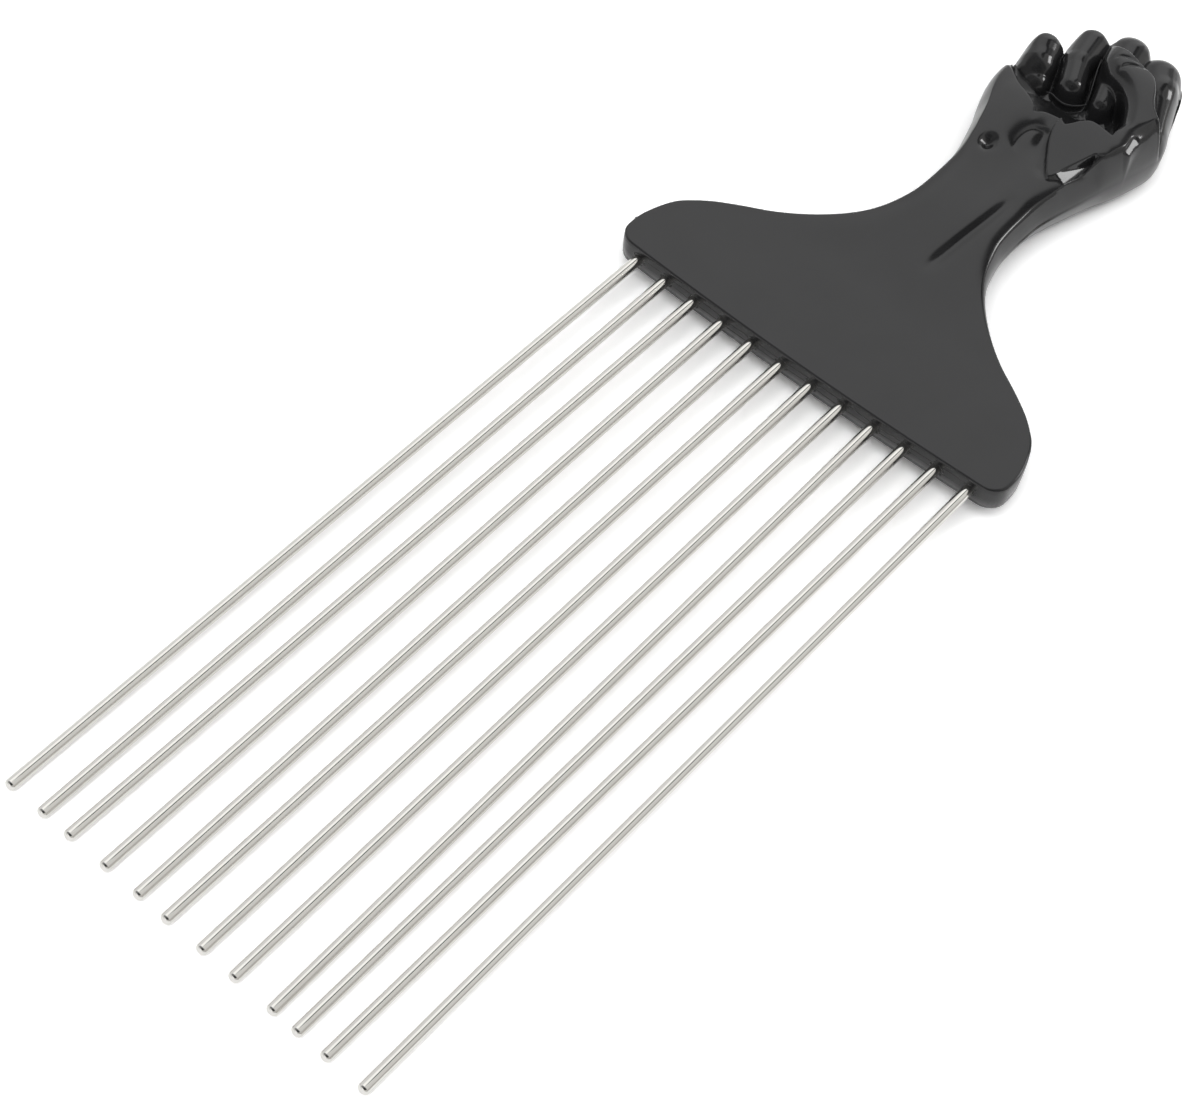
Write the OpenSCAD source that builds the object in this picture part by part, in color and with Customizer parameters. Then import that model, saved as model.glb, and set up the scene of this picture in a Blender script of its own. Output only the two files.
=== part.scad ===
// Wide-tooth hair pick: twelve round steel wires moulded into a one-piece
// plastic handle that spreads from a slim neck into a flat blade and ends
// in a closed fist. The wires lie in the mould's parting plane, the fist
// shows its palm side upwards, and the object lies on the back of the fist.

/* [Wires] */
// Diameter of one wire
wire_d = 2; // [1.4:0.1:2.4]
// Length of the wires from the blade to their tips
tooth_reach = 143; // [90:1:180]
// Length of each wire that is moulded into the blade
anchor_depth = 14; // [9:1:18]
// Rounding at the rim of each tip
tip_r = 0.4; // [0.1:0.1:0.6]

/* [Blade] */
// Width of the blade
blade_w = 81.3; // [70:0.1:110]
// Thickness of the blade
blade_t = 5; // [4:0.1:7]
// Distance from the outer wires to the blade's ends
end_margin = 5.45; // [4:0.05:8]
// How far the front edge bows out at its middle
front_bow = 1.1; // [0:0.1:2]
// Radius of the two front corners
corner_r = 3.4; // [1:0.1:5]
// Length over which the blade narrows to the neck
shoulder_len = 48; // [36:1:60]

/* [Neck] */
// Width of the neck at its narrowest
neck_w = 20.2; // [16:0.1:26]
// Thickness of the neck where the fist begins
neck_t = 9.2; // [7:0.1:12]

/* [Fist] */
// Length of the fist and wrist, from the neck to the highest knuckle
fist_len = 54; // [44:1:66]
// Width of the fist
fist_w = 33; // [28:0.5:42]
// Height of the palm side above the parting plane
palm_h = 9.6; // [7:0.1:12]
// Depth of the back of the hand below the parting plane
back_h = 8.6; // [6:0.1:11]

/* [Hidden] */
tooth_count = 12;
tooth_names = [for (i = [1 : tooth_count]) str("tooth_", i < 10 ? "0" : "", i)];

pitch = (blade_w - 2 * end_margin) / (tooth_count - 1);
// Straight run of the neck between its narrowest place and the wrist
neck_run = 2;
wrist_y = shoulder_len + neck_run;
half_fist = fist_w / 2;
half_blade = blade_w / 2;
half_neck = neck_w / 2;
handle_reach = wrist_y + fist_len;
// Where the front edge meets the two corners, behind the root line
front_y = 0.5;
// Gap left round a wire by the plastic that is moulded on it
cling = 0.02;
// Grooves that key the wires into the plastic: the first lies just behind
// the front edge at the outer wires, the others along the anchored length
key_w = 1.2;
key_depth = 0.2;
key_behind = 0.04;
key_shares = [0.43, 0.71];
// Overrun of cuts
over = 1;
// Draft of the outer walls, measured on plan
draft = 0.05;
// Gate stub left on the left edge of the blade
gate_y = 7.1;
gate_w = 0.9;
gate_t = 0.8;
gate_proud = 1.2;
gate_sunk = 1;
wire_fn = 48;

// Sideways drift of each tip, as shares of the pitch
lean_shares = [-0.07, -0.01, -0.14, 0.01, 0.07, -0.04, 0.07, 0.07, 0.24, -0.01, -0.14, -0.02];

// Blade outline: how much of the flare from neck to blade is left, along
// the shoulder's length
shoulder_shares = [
    [0, 1], [0.07, 1], [0.14, 0.992], [0.19, 0.975], [0.24, 0.949], [0.28, 0.918],
    [0.31, 0.88], [0.37, 0.777], [0.43, 0.635], [0.49, 0.476], [0.57, 0.316],
    [0.67, 0.168], [0.77, 0.072], [0.9, 0.012], [1, 0], [1.1, 0]
];
// Fist outline on its thumb side and its little finger side: how much of
// the flare from neck to fist is reached, along the fist's length
thumb_side_shares = [
    [-0.1, 0], [0, 0], [0.1, 0.03], [0.19, 0.17], [0.28, 0.36], [0.37, 0.55],
    [0.46, 0.77], [0.56, 0.97], [0.63, 1.05], [0.69, 0.93], [0.74, 0.73],
    [0.81, 0.51], [0.86, 0.35], [0.9, 0.19]
];
little_side_shares = [
    [-0.1, 0], [0, 0], [0.1, 0.01], [0.17, 0.1], [0.25, 0.28], [0.32, 0.46],
    [0.38, 0.67], [0.44, 0.83], [0.51, 0.92], [0.56, 0.92], [0.6, 0.88],
    [0.65, 0.92], [0.69, 0.95], [0.73, 0.96]
];
// Knuckles on the outline, little finger to index: x and radius as shares
// of half the fist's width, y as a share of its length
knuckle_shares = [
    [-0.756, 0.724, 0.222], [-0.436, 0.852, 0.224], [-0.05, 0.917, 0.272], [0.408, 0.898, 0.272]
];

// Rise of the ground on the back of the hand, as shares of its depth,
// along the fist from the wrist (0) to the top (1)
back_rise_shares = [
    [0, 0], [0.22, 0.1], [0.4, 0.17], [0.55, 0.24], [0.7, 0.26], [0.85, 0.1], [1.05, -0.12]
];
// Rounding of the rim along the fist, as shares of the palm height, and
// the share of the wall that stands straight
rim_shares = [
    [0, 0.1], [0.12, 0.12], [0.22, 0.18], [0.4, 0.2], [0.55, 0.22], [0.67, 0.2], [0.78, 0.18],
    [1.05, 0.17]
];
wall_shares = [
    [0, 0.5], [0.12, 0.42], [0.22, 0.3], [0.4, 0.2], [0.55, 0.12], [0.78, 0.05], [1.05, 0.02]
];

// Rise of the palm above the neck as shares of the palm height, for places
// along the fist and, in each row, for places across half its width
sheet_place_shares = [
    -1.03, -0.697, -0.424, -0.182, 0.03, 0.242, 0.545, 0.97
];
palm_sheet_shares = [
    [-0.148, [0, 0, 0, 0, 0, 0, 0, 0]], [0, [0, 0.005, 0.013, 0.01, 0.005, 0.01, 0.005, 0]],
    [0.111, [0.01, 0.042, 0.062, 0.047, 0.036, 0.047, 0.042, 0.01]],
    [0.204, [0.042, 0.109, 0.13, 0.099, 0.073, 0.089, 0.094, 0.042]],
    [0.296, [0.094, 0.188, 0.203, 0.151, 0.109, 0.13, 0.146, 0.062]],
    [0.37, [0.125, 0.234, 0.25, 0.182, 0.156, 0.188, 0.198, 0.083]],
    [0.444, [0.135, 0.25, 0.26, 0.224, 0.229, 0.25, 0.25, 0.104]],
    [0.556, [0.094, 0.177, 0.219, 0.229, 0.24, 0.25, 0.25, 0.104]],
    [0.667, [0.031, 0.083, 0.125, 0.125, 0.135, 0.146, 0.146, 0.104]]
];
// Ball of the thumb with the thumb lying on it: level along the fist, the
// crease on its left and the line where its flank falls to the side
ball_level_shares = [
    [0.111, 0.573], [0.185, 0.63], [0.241, 0.677], [0.315, 0.74], [0.389, 0.812], [0.472, 0.865],
    [0.537, 0.87], [0.611, 0.906], [0.685, 0.958], [0.759, 0.969], [0.852, 0.885]
];
ball_crease_shares = [
    [-0.848, 0.926], [-0.364, 0.593], [0.042, 0.481], [0.048, 0.407], [0.067, 0.369], [0.121, 0.328],
    [0.206, 0.283], [0.303, 0.237], [0.388, 0.204], [0.521, 0.178], [0.667, 0.159], [0.848, 0.141]
];
ball_flank_shares = [
    [0.291, 0.139], [0.4, 0.211], [0.509, 0.256], [0.594, 0.298], [0.685, 0.341], [0.77, 0.391],
    [0.842, 0.448], [0.818, 0.541], [0.842, 0.62], [1.212, 0.722]
];
// Round and steepness of that flank along the fist
flank_round_shares = [
    [0, 0.08], [0.36, 0.08], [0.43, 0.6], [0.54, 0.7], [0.63, 0.12], [1, 0.08]
];
flank_slope_shares = [
    [0, 0.62], [0.36, 0.62], [0.44, 1.1], [1, 1.1]
];
// Flat facet at the toe of the ball: two ends with their radius, and slopes
facet_shares = [
    [0.527, 0.228, 0.115], [0.636, 0.304, 0.03], [-0.6, -0.02]
];
// Brink of the hollow behind the fingertips, from the heel of the hand over
// the ball to the tip of the thumb
brink_shares = [
    [-1.152, 0.676], [-0.945, 0.598], [-0.848, 0.559], [-0.758, 0.526], [-0.691, 0.498],
    [-0.612, 0.476], [-0.491, 0.459], [-0.352, 0.439], [-0.248, 0.417], [-0.224, 0.407],
    [-0.164, 0.424], [-0.067, 0.435], [0.042, 0.441], [0.091, 0.419], [0.139, 0.411], [0.182, 0.426],
    [0.23, 0.45], [0.315, 0.476], [0.406, 0.481], [0.509, 0.478], [0.606, 0.474], [0.6, 0.493],
    [0.576, 0.526], [0.533, 0.574], [0.436, 0.633], [0.327, 0.67], [0.206, 0.691], [0.067, 0.706],
    [-0.079, 0.741], [-0.152, 0.78], [-0.188, 0.822], [-0.194, 0.87]
];
// Edge of the hollow's floor in front of the fingertips
floor_edge_shares = [
    [-1.152, 0.63], [-0.788, 0.578], [-0.709, 0.569], [-0.624, 0.565], [-0.527, 0.559],
    [-0.388, 0.563], [-0.327, 0.578], [-0.236, 0.565], [-0.133, 0.567], [-0.055, 0.581],
    [0.012, 0.607], [0.061, 0.619], [0.145, 0.585], [0.255, 0.581], [0.339, 0.596], [0.461, 0.548],
    [0.57, 0.489], [0.727, 0.444]
];
// Outer edge of the thumb
thumb_outer_shares = [
    [-0.303, 0.841], [-0.182, 0.837], [-0.067, 0.831], [0.03, 0.833], [0.115, 0.826], [0.279, 0.807],
    [0.4, 0.794], [0.503, 0.776], [0.606, 0.735], [0.715, 0.678], [0.842, 0.643], [0.982, 0.617],
    [1.212, 0.6]
];
// Round bars of the fingers. Each end is x and radius as shares of half the
// fist's width, y as a share of its length and the crest as a share of the
// palm height; the last number is the softness of the joint with what came
// before, as a share of the palm height.
finger_bar_shares = [
    [[-0.836, 0.696, 0.182, 0.458], [-0.776, 0.619, 0.158, 0.417], 0.031],
    [[-0.8, 0.719, 0.242, 0.625], [-0.63, 0.619, 0.194, 0.479], 0.104],
    [[-0.448, 0.852, 0.23, 0.635], [-0.376, 0.737, 0.188, 0.646], 0.042],
    [[-0.376, 0.737, 0.176, 0.646], [-0.224, 0.633, 0.158, 0.646], 0.042],
    [[-0.048, 0.907, 0.273, 0.656], [0.073, 0.759, 0.23, 0.646], 0.042],
    [[0.073, 0.759, 0.206, 0.583], [0.164, 0.641, 0.133, 0.542], 0.042],
    [[0.388, 0.889, 0.273, 0.656], [0.509, 0.822, 0.273, 0.667], 0.042],
    [[0.509, 0.822, 0.273, 0.667], [0.8, 0.656, 0.242, 0.427], 0.062]
];
// The same for the back of the hand, with crests as shares of its depth
back_bar_shares = [
    [[-0.756, 0.72, 0.23, 0.67], [-0.66, 0.54, 0.235, 0.86], 0.07],
    [[-0.436, 0.85, 0.235, 0.77], [-0.3, 0.565, 0.245, 0.95], 0.07],
    [[-0.05, 0.91, 0.28, 0.81], [0.085, 0.583, 0.255, 1], 0.07],
    [[0.408, 0.89, 0.275, 0.77], [0.51, 0.556, 0.265, 0.93], 0.07],
    [[-0.36, 0.22, 0.3, 0.67], [-0.57, 0.52, 0.27, 0.81], 0.23]
];
// Furrows of the wrist and the palm and folds of the thumb, as path, width
// and depth, and a dimple in the heel of the hand as place, half sizes and
// depth
palm_furrow_shares = [
    [[[0.073, -0.352], [0.145, -0.237], [0.17, -0.185], [0.212, -0.046], [0.255, 0.094],
      [0.291, 0.204]], 0.073, 0.04],
    [[[-0.206, 0.27], [-0.133, 0.326], [-0.073, 0.381]], 0.103, 0.062],
    [[[0.339, 0.2], [0.242, 0.239], [0.145, 0.281], [0.067, 0.326], [0.012, 0.374]], 0.079, 0.036]
];
thumb_furrow_shares = [
    [[[0.115, 0.726], [0.176, 0.763], [0.285, 0.787], [0.4, 0.804]], 0.027, 0.031],
    [[[-0.036, 0.759], [0.048, 0.785], [0.145, 0.8], [0.279, 0.798]], 0.027, 0.029]
];
dimple_shares = [
    [-0.358, 0.2], [0.067, 0.091], 0.089
];

// Places of the mesh lines from the rim inwards, as shares of the rim's
// rounding on the blade
rim_line_shares = [0, 0.05, 0.25, 0.6, 1.1, 1.8];
blade_rim = 1;
inner_cols = 30;
blade_rows = 7;
fist_rows = 52;

function clamp(v, a, b) = min(max(v, a), b);
function mix(a, b, t) = a + (b - a) * t;
function smooth_step(t) = t * t * (3 - 2 * t);
function smooth_max(a, b, k) = let (h = clamp(0.5 + 0.5 * (a - b) / k, 0, 1)) mix(b, a, h) + k * h * (1 - h);

// Smooth curve through a table of [place, value] pairs
function span_of(tab, v, i = 0) = i >= len(tab) - 2 || v < tab[i + 1][0] ? i : span_of(tab, v, i + 1);
function slope_at(tab, i) =
    let (a = tab[max(i - 1, 0)], b = tab[min(i + 1, len(tab) - 1)]) (b[1] - a[1]) / (b[0] - a[0]);
function curve(tab, v) =
    let (
        x = clamp(v, tab[0][0], tab[len(tab) - 1][0]),
        i = span_of(tab, x),
        h = tab[i + 1][0] - tab[i][0],
        t = (x - tab[i][0]) / h
    )
    (2 * t * t * t - 3 * t * t + 1) * tab[i][1] + (t * t * t - 2 * t * t + t) * h * slope_at(tab, i)
        + (3 * t * t - 2 * t * t * t) * tab[i + 1][1] + (t * t * t - t * t) * h * slope_at(tab, i + 1);

// Where a place along the handle lies on the fist, 0 at the wrist
function on_fist(y) = (y - wrist_y) / fist_len;

// Half widths of the outline in the parting plane
function blade_flare(y) = (half_blade - half_neck) * curve(shoulder_shares, y / shoulder_len);
function thumb_side(y) =
    half_neck + blade_flare(y) + (half_fist - half_neck) * curve(thumb_side_shares, on_fist(y));
function little_side(y) =
    -half_neck - blade_flare(y) - (half_fist - half_neck) * curve(little_side_shares, on_fist(y));

// Front edge: a shallow bow with rounded corners
function front_edge(x) =
    let (q = clamp((abs(x) - half_blade + corner_r) / corner_r, 0, 1))
    front_y - front_bow * (1 - pow(x / half_blade, 2)) + corner_r * (1 - sqrt(max(0, 1 - q * q)));

// Knuckles as [x, y, radius]
knuckles = [for (k = knuckle_shares) [k[0] * half_fist, wrist_y + k[1] * fist_len, k[2] * half_fist]];
function left_of(k) = k[0] - k[2];
// Place where two neighbouring knuckles cross, or the side of the taller one
function notch_x(a, b) =
    let (
        d = norm([b[0] - a[0], b[1] - a[1]]),
        along = (d * d + a[2] * a[2] - b[2] * b[2]) / (2 * d),
        off = sqrt(max(0, a[2] * a[2] - along * along)),
        u = [(b[0] - a[0]) / d, (b[1] - a[1]) / d],
        x = a[0] + along * u[0] - off * u[1],
        y = a[1] + along * u[1] + off * u[0]
    )
    y < b[1] ? left_of(b) : y < a[1] ? a[0] + a[2] : x;
arc_steps = 24;
notches = [for (i = [0 : 2]) notch_x(knuckles[i], knuckles[i + 1])];
// The knuckle outline from left to right, as points along the four arcs
function arc_angle(k, x) = acos(clamp((x - k[0]) / k[2], -1, 1));
top_line = [
    for (i = [0 : 3])
        let (
            k = knuckles[i],
            from = i == 0 ? 180 : arc_angle(k, notches[i - 1]),
            to = i == 3 ? 0 : arc_angle(k, notches[i])
        )
        for (s = [0 : arc_steps])
            let (a = mix(from, to, s / arc_steps)) [k[0] + k[2] * cos(a), k[1] + k[2] * sin(a)]
];
function run_along(line, i = 1, sums = [0]) =
    i >= len(line) ? sums
    : run_along(line, i + 1, concat(sums, [sums[i - 1] + norm(line[i] - line[i - 1])]));
top_runs = run_along(top_line);
top_len = top_runs[len(top_runs) - 1];
function top_span(v, a, b) =
    b - a <= 1 ? a : let (m = floor((a + b) / 2)) top_runs[m] <= v ? top_span(v, m, b) : top_span(v, a, m);
function top_point(s) =
    let (
        v = clamp(s, 0, 1) * top_len,
        i = top_span(v, 0, len(top_runs) - 1),
        w = top_runs[i + 1] - top_runs[i],
        t = w <= 0 ? 0 : (v - top_runs[i]) / w
    )
    mix(top_line[i], top_line[i + 1], t);

// Mesh lines: across as shares of a row's width, along as places
function across(w) =
    let (e = [for (r = rim_line_shares) r * blade_rim / w], n = len(e) - 1, a = e[n])
    concat(
        e,
        [for (i = [1 : inner_cols]) mix(a, 1 - a, i / (inner_cols + 1))],
        [for (i = [n : -1 : 0]) 1 - e[i]]
    );
rim_lines = [for (r = rim_line_shares) r * blade_rim];
rim_depth = rim_lines[len(rim_lines) - 1];
mesh_ys = concat(
    rim_lines,
    [for (i = [1 : blade_rows]) mix(rim_depth, shoulder_len, i / blade_rows)],
    [for (i = [1 : fist_rows]) mix(shoulder_len, handle_reach - rim_depth, i / fist_rows)],
    [for (i = [len(rim_lines) - 2 : -1 : 0]) handle_reach - rim_lines[i]]
);
rows = len(mesh_ys);
cols = 2 * len(rim_line_shares) + inner_cols;

// Plan of one mesh row: straight across, bent to the front edge near the
// front and to the knuckles near the top
bow_reach_share = 1 / 3;
function front_pull(y) = pow(max(0, 1 - y / (bow_reach_share * shoulder_len)), 2);
pull_start_share = 0.19;
pull_power_share = 0.6;
function top_pull(y) =
    let (q = clamp((on_fist(y) - pull_start_share) / (1 - pull_start_share), 0, 1))
    mix(smooth_step(q), pow(q, 3 / 2), pull_power_share);
top_ends = [top_line[0], top_line[len(top_line) - 1]];
function mesh_row(y) =
    let (
        t = y / handle_reach,
        yl = t * top_ends[0][1],
        yr = t * top_ends[1][1],
        a = [little_side(yl), yl],
        b = [thumb_side(yr), yr],
        wt = top_pull(y),
        wf = front_pull(y),
        side = across(b[0] - a[0]),
        top = across(top_len)
    )
    [
        for (j = [0 : cols - 1])
            let (
                s = mix(side[j], top[j], wt),
                p = mix(a, b, s),
                q = wt > 0 ? top_point(s) - mix(top_ends[0], top_ends[1], s) : [0, 0]
            )
            p + wt * q + [0, wf * front_edge(p[0])]
    ];

// Distance of a plan point from the outline
function from_side(p, a, b) =
    let (d = b - a, m = d * d, t = m <= 0 ? 0 : clamp((p - a) * d / m, 0, 1)) norm(p - a - t * d);
function from_outline(p, line) =
    min([for (i = [0 : len(line) - 1]) from_side(p, line[i], line[(i + 1) % len(line)])]);

// Plan places of points given as shares of the fist
function spot(s) = [s[0] * half_fist, wrist_y + s[1] * fist_len];
function path(line) = [for (s = line) spot(s)];
brink_line = path(brink_shares);
floor_edge_line = path(floor_edge_shares);
ball_crease_line = path(ball_crease_shares);
ball_flank_line = path(ball_flank_shares);
thumb_outer_line = path(thumb_outer_shares);

// Distance from a drawn line, positive on its right as it is drawn
same_share = 1e-9;
function side_from(p, a, b) =
    let (
        d = b - a,
        gap = norm(p - a - clamp((p - a) * d / (d * d), 0, 1) * d),
        cross_run = ((p[0] - a[0]) * d[1] - (p[1] - a[1]) * d[0]) / norm(d)
    )
    [gap, abs(cross_run), sign(cross_run) * gap];
function nearer(u, v) =
    u[0] < v[0] * (1 - same_share) || (u[0] <= v[0] * (1 + same_share) && u[1] > v[1]) ? u : v;
function nearest(p, line, i, best) =
    i >= len(line) ? best : nearest(p, line, i + 1, nearer(side_from(p, line[i - 1], line[i]), best));
function side_of(p, line) = nearest(p, line, 2, side_from(p, line[0], line[1]))[2];

// Quarter round from 0 at an edge to 1 at a distance r inside it
function roll(d, r) = sqrt(max(0, 1 - pow(1 - clamp(d / r, 0, 1), 2)));

// Height of one bar at a plan point: a finger is round and stands on steep
// walls, a swelling of the back is a flat oval
steep_share = 4;
fall_share = 0.4;
function along_bar(p, bar) =
    let (
        a = spot(bar[0]),
        d = spot(bar[1]) - a,
        t = clamp((p - a) * d / (d * d), 0, 1),
        r = mix(bar[0][2], bar[1][2], t) * half_fist
    )
    [t, norm(p - a - t * d) / r, r];
function finger_height(p, bar, h) =
    let (
        v = along_bar(p, bar),
        q = v[1],
        fall = 1 - sqrt(max(0, 1 - q * q)) + steep_share * max(0, q - 1)
    )
    h * mix(bar[0][3], bar[1][3], v[0]) - v[2] * fall;
function swell_height(p, bar, h) =
    let (v = along_bar(p, bar), q = v[1])
    q < 1 ? h * mix(bar[0][3], bar[1][3], v[0]) * sqrt(1 - q * q) : h * fall_share * (1 - q);
function join_fingers(z, p, bars, h, i = 0) =
    i >= len(bars) ? z
    : join_fingers(smooth_max(z, finger_height(p, bars[i], h), bars[i][2] * h), p, bars, h, i + 1);
function join_swells(z, p, bars, h, i = 0) =
    i >= len(bars) ? z
    : join_swells(smooth_max(z, swell_height(p, bars[i], h), bars[i][2] * h), p, bars, h, i + 1);

// Soft-ended furrow along a path, and dimple
fade_share = 0.3;
fade_from_share = 0.35;
furrow_power = 1.6;
function furrow(p, g, h) =
    let (
        line = path(g[0]),
        a = line[0],
        d = line[len(line) - 1] - a,
        t = (p - a) * d / (d * d),
        q = abs(side_of(p, line)) / (g[1] * half_fist),
        e = clamp(min(t, 1 - t) / fade_share + fade_from_share, 0, 1)
    )
    h * g[2] * smooth_step(e) * exp(-pow(q, furrow_power));
function cut_furrows(z, p, list, h, i = 0) =
    i >= len(list) ? z : cut_furrows(z - furrow(p, list[i], h), p, list, h, i + 1);
function hollow(p, g, h) =
    let (d = p - spot(g[0]), u = d[0] / (g[1][0] * half_fist), v = d[1] / (g[1][1] * half_fist))
    h * g[2] * exp(-u * u - v * v);

// Thickness of the plain handle on one side of the parting plane
flat_share = 0.42;
function past_flat(y) = clamp((y - flat_share * shoulder_len) / (wrist_y - flat_share * shoulder_len), 0, 1);
function plain_half(y) = mix(blade_t, neck_t, smooth_step(past_flat(y))) / 2;

// Rise of the palm, smooth between the places of its table
sheet_columns = [
    for (i = [0 : len(sheet_place_shares) - 1]) [for (row = palm_sheet_shares) [row[0], row[1][i]]]
];
function sheet(p) =
    let (
        v = on_fist(p[1]),
        row = [for (i = [0 : len(sheet_columns) - 1]) [sheet_place_shares[i], curve(sheet_columns[i], v)]]
    )
    curve(row, p[0] / half_fist);

// Ball of the thumb with the thumb on it, before its edges
facet_level_share = 0.59;
facet_edge_share = 1.15;
facet_fade_share = 0.4;
facet_place = (spot(facet_shares[0]) + spot(facet_shares[1])) / 2;
function ball_z(p) =
    let (
        v = on_fist(p[1]),
        r = palm_h * curve(flank_round_shares, v),
        slope = curve(flank_slope_shares, v),
        stop = r * sin(atan(slope)),
        past = max(0, side_of(p, ball_flank_line) + r * sin(atan(flank_slope_shares[0][1]))),
        turned = min(past, stop),
        top = palm_h * curve(ball_level_shares, v) - r,
        z = top + sqrt(r * r - turned * turned) - slope * max(0, past - stop),
        facet_z = facet_level_share * palm_h + facet_shares[2] * (p - facet_place),
        q = along_bar(p, facet_shares)[1]
    )
    mix(z, facet_z, smooth_step(clamp((facet_edge_share - q) / facet_fade_share, 0, 1)));

// Height of the palm side above the parting plane. Edges, steps and
// softness are shares of the palm height.
least_share = 0.04;
crease_step_share = 0.05;
crease_roll_share = 0.045;
ball_join_share = 0.03;
moat_share = 0.083;
floor_top_share = 0.458;
floor_low_share = 0.156;
floor_slope_share = 0.45;
floor_roll_share = 0.05;
finger_join_share = 0.04;
brink_roll_share = 0.055;
thumb_roll_share = 0.3;
thumb_edge_share = 0.06;
thumb_step_share = 0.25;
thumb_join_share = 0.015;
wall_lean_share = 0.08;
thumb_from_share = 0.48;
thumb_fade_share = 0.09;
hand_from_share = -0.36;
hollow_from_share = 0.2;
function hollow_z(p, brink) =
    let (
        slope = floor_top_share * palm_h - floor_slope_share * abs(brink),
        floor_z = max(floor_low_share * palm_h, slope),
        z = mix(moat_share * palm_h, floor_z, roll(side_of(p, floor_edge_line), floor_roll_share * palm_h))
    )
    smooth_max(z, join_fingers(-palm_h, p, finger_bar_shares, palm_h), finger_join_share * palm_h);
function heel_z(p) =
    let (
        z = cut_furrows(plain_half(p[1]) + palm_h * sheet(p), p, palm_furrow_shares, palm_h)
            - hollow(p, dimple_shares, palm_h),
        crease = side_of(p, ball_crease_line),
        step = crease_step_share * palm_h * (1 - roll(-crease, crease_roll_share * palm_h))
    )
    smooth_max(z, crease < 0 ? ball_z(p) - step : -palm_h, ball_join_share * palm_h);
function grip_z(p) =
    let (
        brink = side_of(p, brink_line),
        outer = side_of(p, thumb_outer_line),
        inside = min(brink, outer),
        on_thumb = smooth_step(clamp((on_fist(p[1]) - thumb_from_share) / thumb_fade_share, 0, 1)),
        round_r = palm_h * mix(brink_roll_share, thumb_roll_share, on_thumb),
        z = heel_z(p) - round_r * (1 - roll(brink, round_r))
            - palm_h * thumb_step_share * (1 - roll(outer, thumb_edge_share * palm_h)),
        low = hollow_z(p, brink),
        wall = clamp(1 + inside / (wall_lean_share * palm_h), 0, 1)
    )
    cut_furrows(
        inside < 0 ? mix(low, z, wall) : smooth_max(low, z, thumb_join_share * palm_h),
        p, thumb_furrow_shares, palm_h
    );
function palm_z(p) =
    let (v = on_fist(p[1]))
    v < hand_from_share ? plain_half(p[1])
    : max(least_share * palm_h, v < hollow_from_share ? heel_z(p) : grip_z(p));

back_join_share = 0.13;
function back_z(p) =
    let (
        z = plain_half(p[1]) + back_h * curve(back_rise_shares, on_fist(p[1])),
        swells = join_swells(-back_h, p, back_bar_shares, back_h)
    )
    p[1] < wrist_y ? z : max(least_share * back_h, smooth_max(z, swells, back_join_share * back_h));

// Height after the neck's crown and the draft and rounding of the rim, d in
// from the outline
crown_share = 0.156;
crown_reach_share = 0.57;
crown_end_shares = [0.05, 0.35];
function rimmed(z, y, d) =
    let (
        f = smooth_step(past_flat(y)),
        v = on_fist(y),
        rim = mix(blade_rim, curve(rim_shares, v) * palm_h, f),
        wall = mix(1 - 2 * blade_rim / blade_t, curve(wall_shares, v), f),
        end = clamp((v - crown_end_shares[0]) / (crown_end_shares[1] - crown_end_shares[0]), 0, 1),
        crown = crown_share * palm_h * f * (1 - smooth_step(end)),
        out = clamp(1 - d / (crown_reach_share * palm_h), 0, 1)
    )
    (z - crown * out * out) * mix(wall, 1, roll(d - draft, rim)) * clamp(d / draft, 0, 1);

// The moulded body: one surface above and one below the parting plane
module moulding() {
    plan = [for (y = mesh_ys) mesh_row(y)];
    outline = concat(
        plan[0],
        [for (i = [1 : rows - 2]) plan[i][cols - 1]],
        [for (j = [cols - 1 : -1 : 0]) plan[rows - 1][j]],
        [for (i = [rows - 2 : -1 : 1]) plan[i][0]]
    );
    inside = [
        for (i = [1 : rows - 2], j = [1 : cols - 2])
            let (p = plan[i][j]) [p, from_outline(p, outline)]
    ];
    edge_count = len(outline);
    inner = cols - 2;
    points = concat(
        [for (p = outline) [p[0], p[1], 0]],
        [for (v = inside) [v[0][0], v[0][1], rimmed(palm_z(v[0]), v[0][1], v[1])]],
        [for (v = inside) [v[0][0], v[0][1], -rimmed(back_z(v[0]), v[0][1], v[1])]]
    );
    function at(i, j, side) =
        i == 0 ? j
        : i == rows - 1 ? cols + rows - 2 + (cols - 1 - j)
        : j == cols - 1 ? cols + i - 1
        : j == 0 ? edge_count - i
        : edge_count + side * (rows - 2) * inner + (i - 1) * inner + j - 1;
    // Each cell is split so that its corner cells keep an inner point
    function cell(i, j, side) =
        let (a = at(i, j, side), b = at(i, j + 1, side), c = at(i + 1, j + 1, side), d = at(i + 1, j, side))
        (i < rows / 2) == (j < cols / 2) ? [[a, c, b], [a, d, c]] : [[a, d, b], [b, d, c]];
    function turned(f) = [f[0], f[2], f[1]];
    top_faces = [for (i = [0 : rows - 2], j = [0 : cols - 2]) for (f = cell(i, j, 0)) f];
    low_faces = [for (i = [0 : rows - 2], j = [0 : cols - 2]) for (f = cell(i, j, 1)) turned(f)];
    polyhedron(points, concat(top_faces, low_faces));
}

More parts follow.
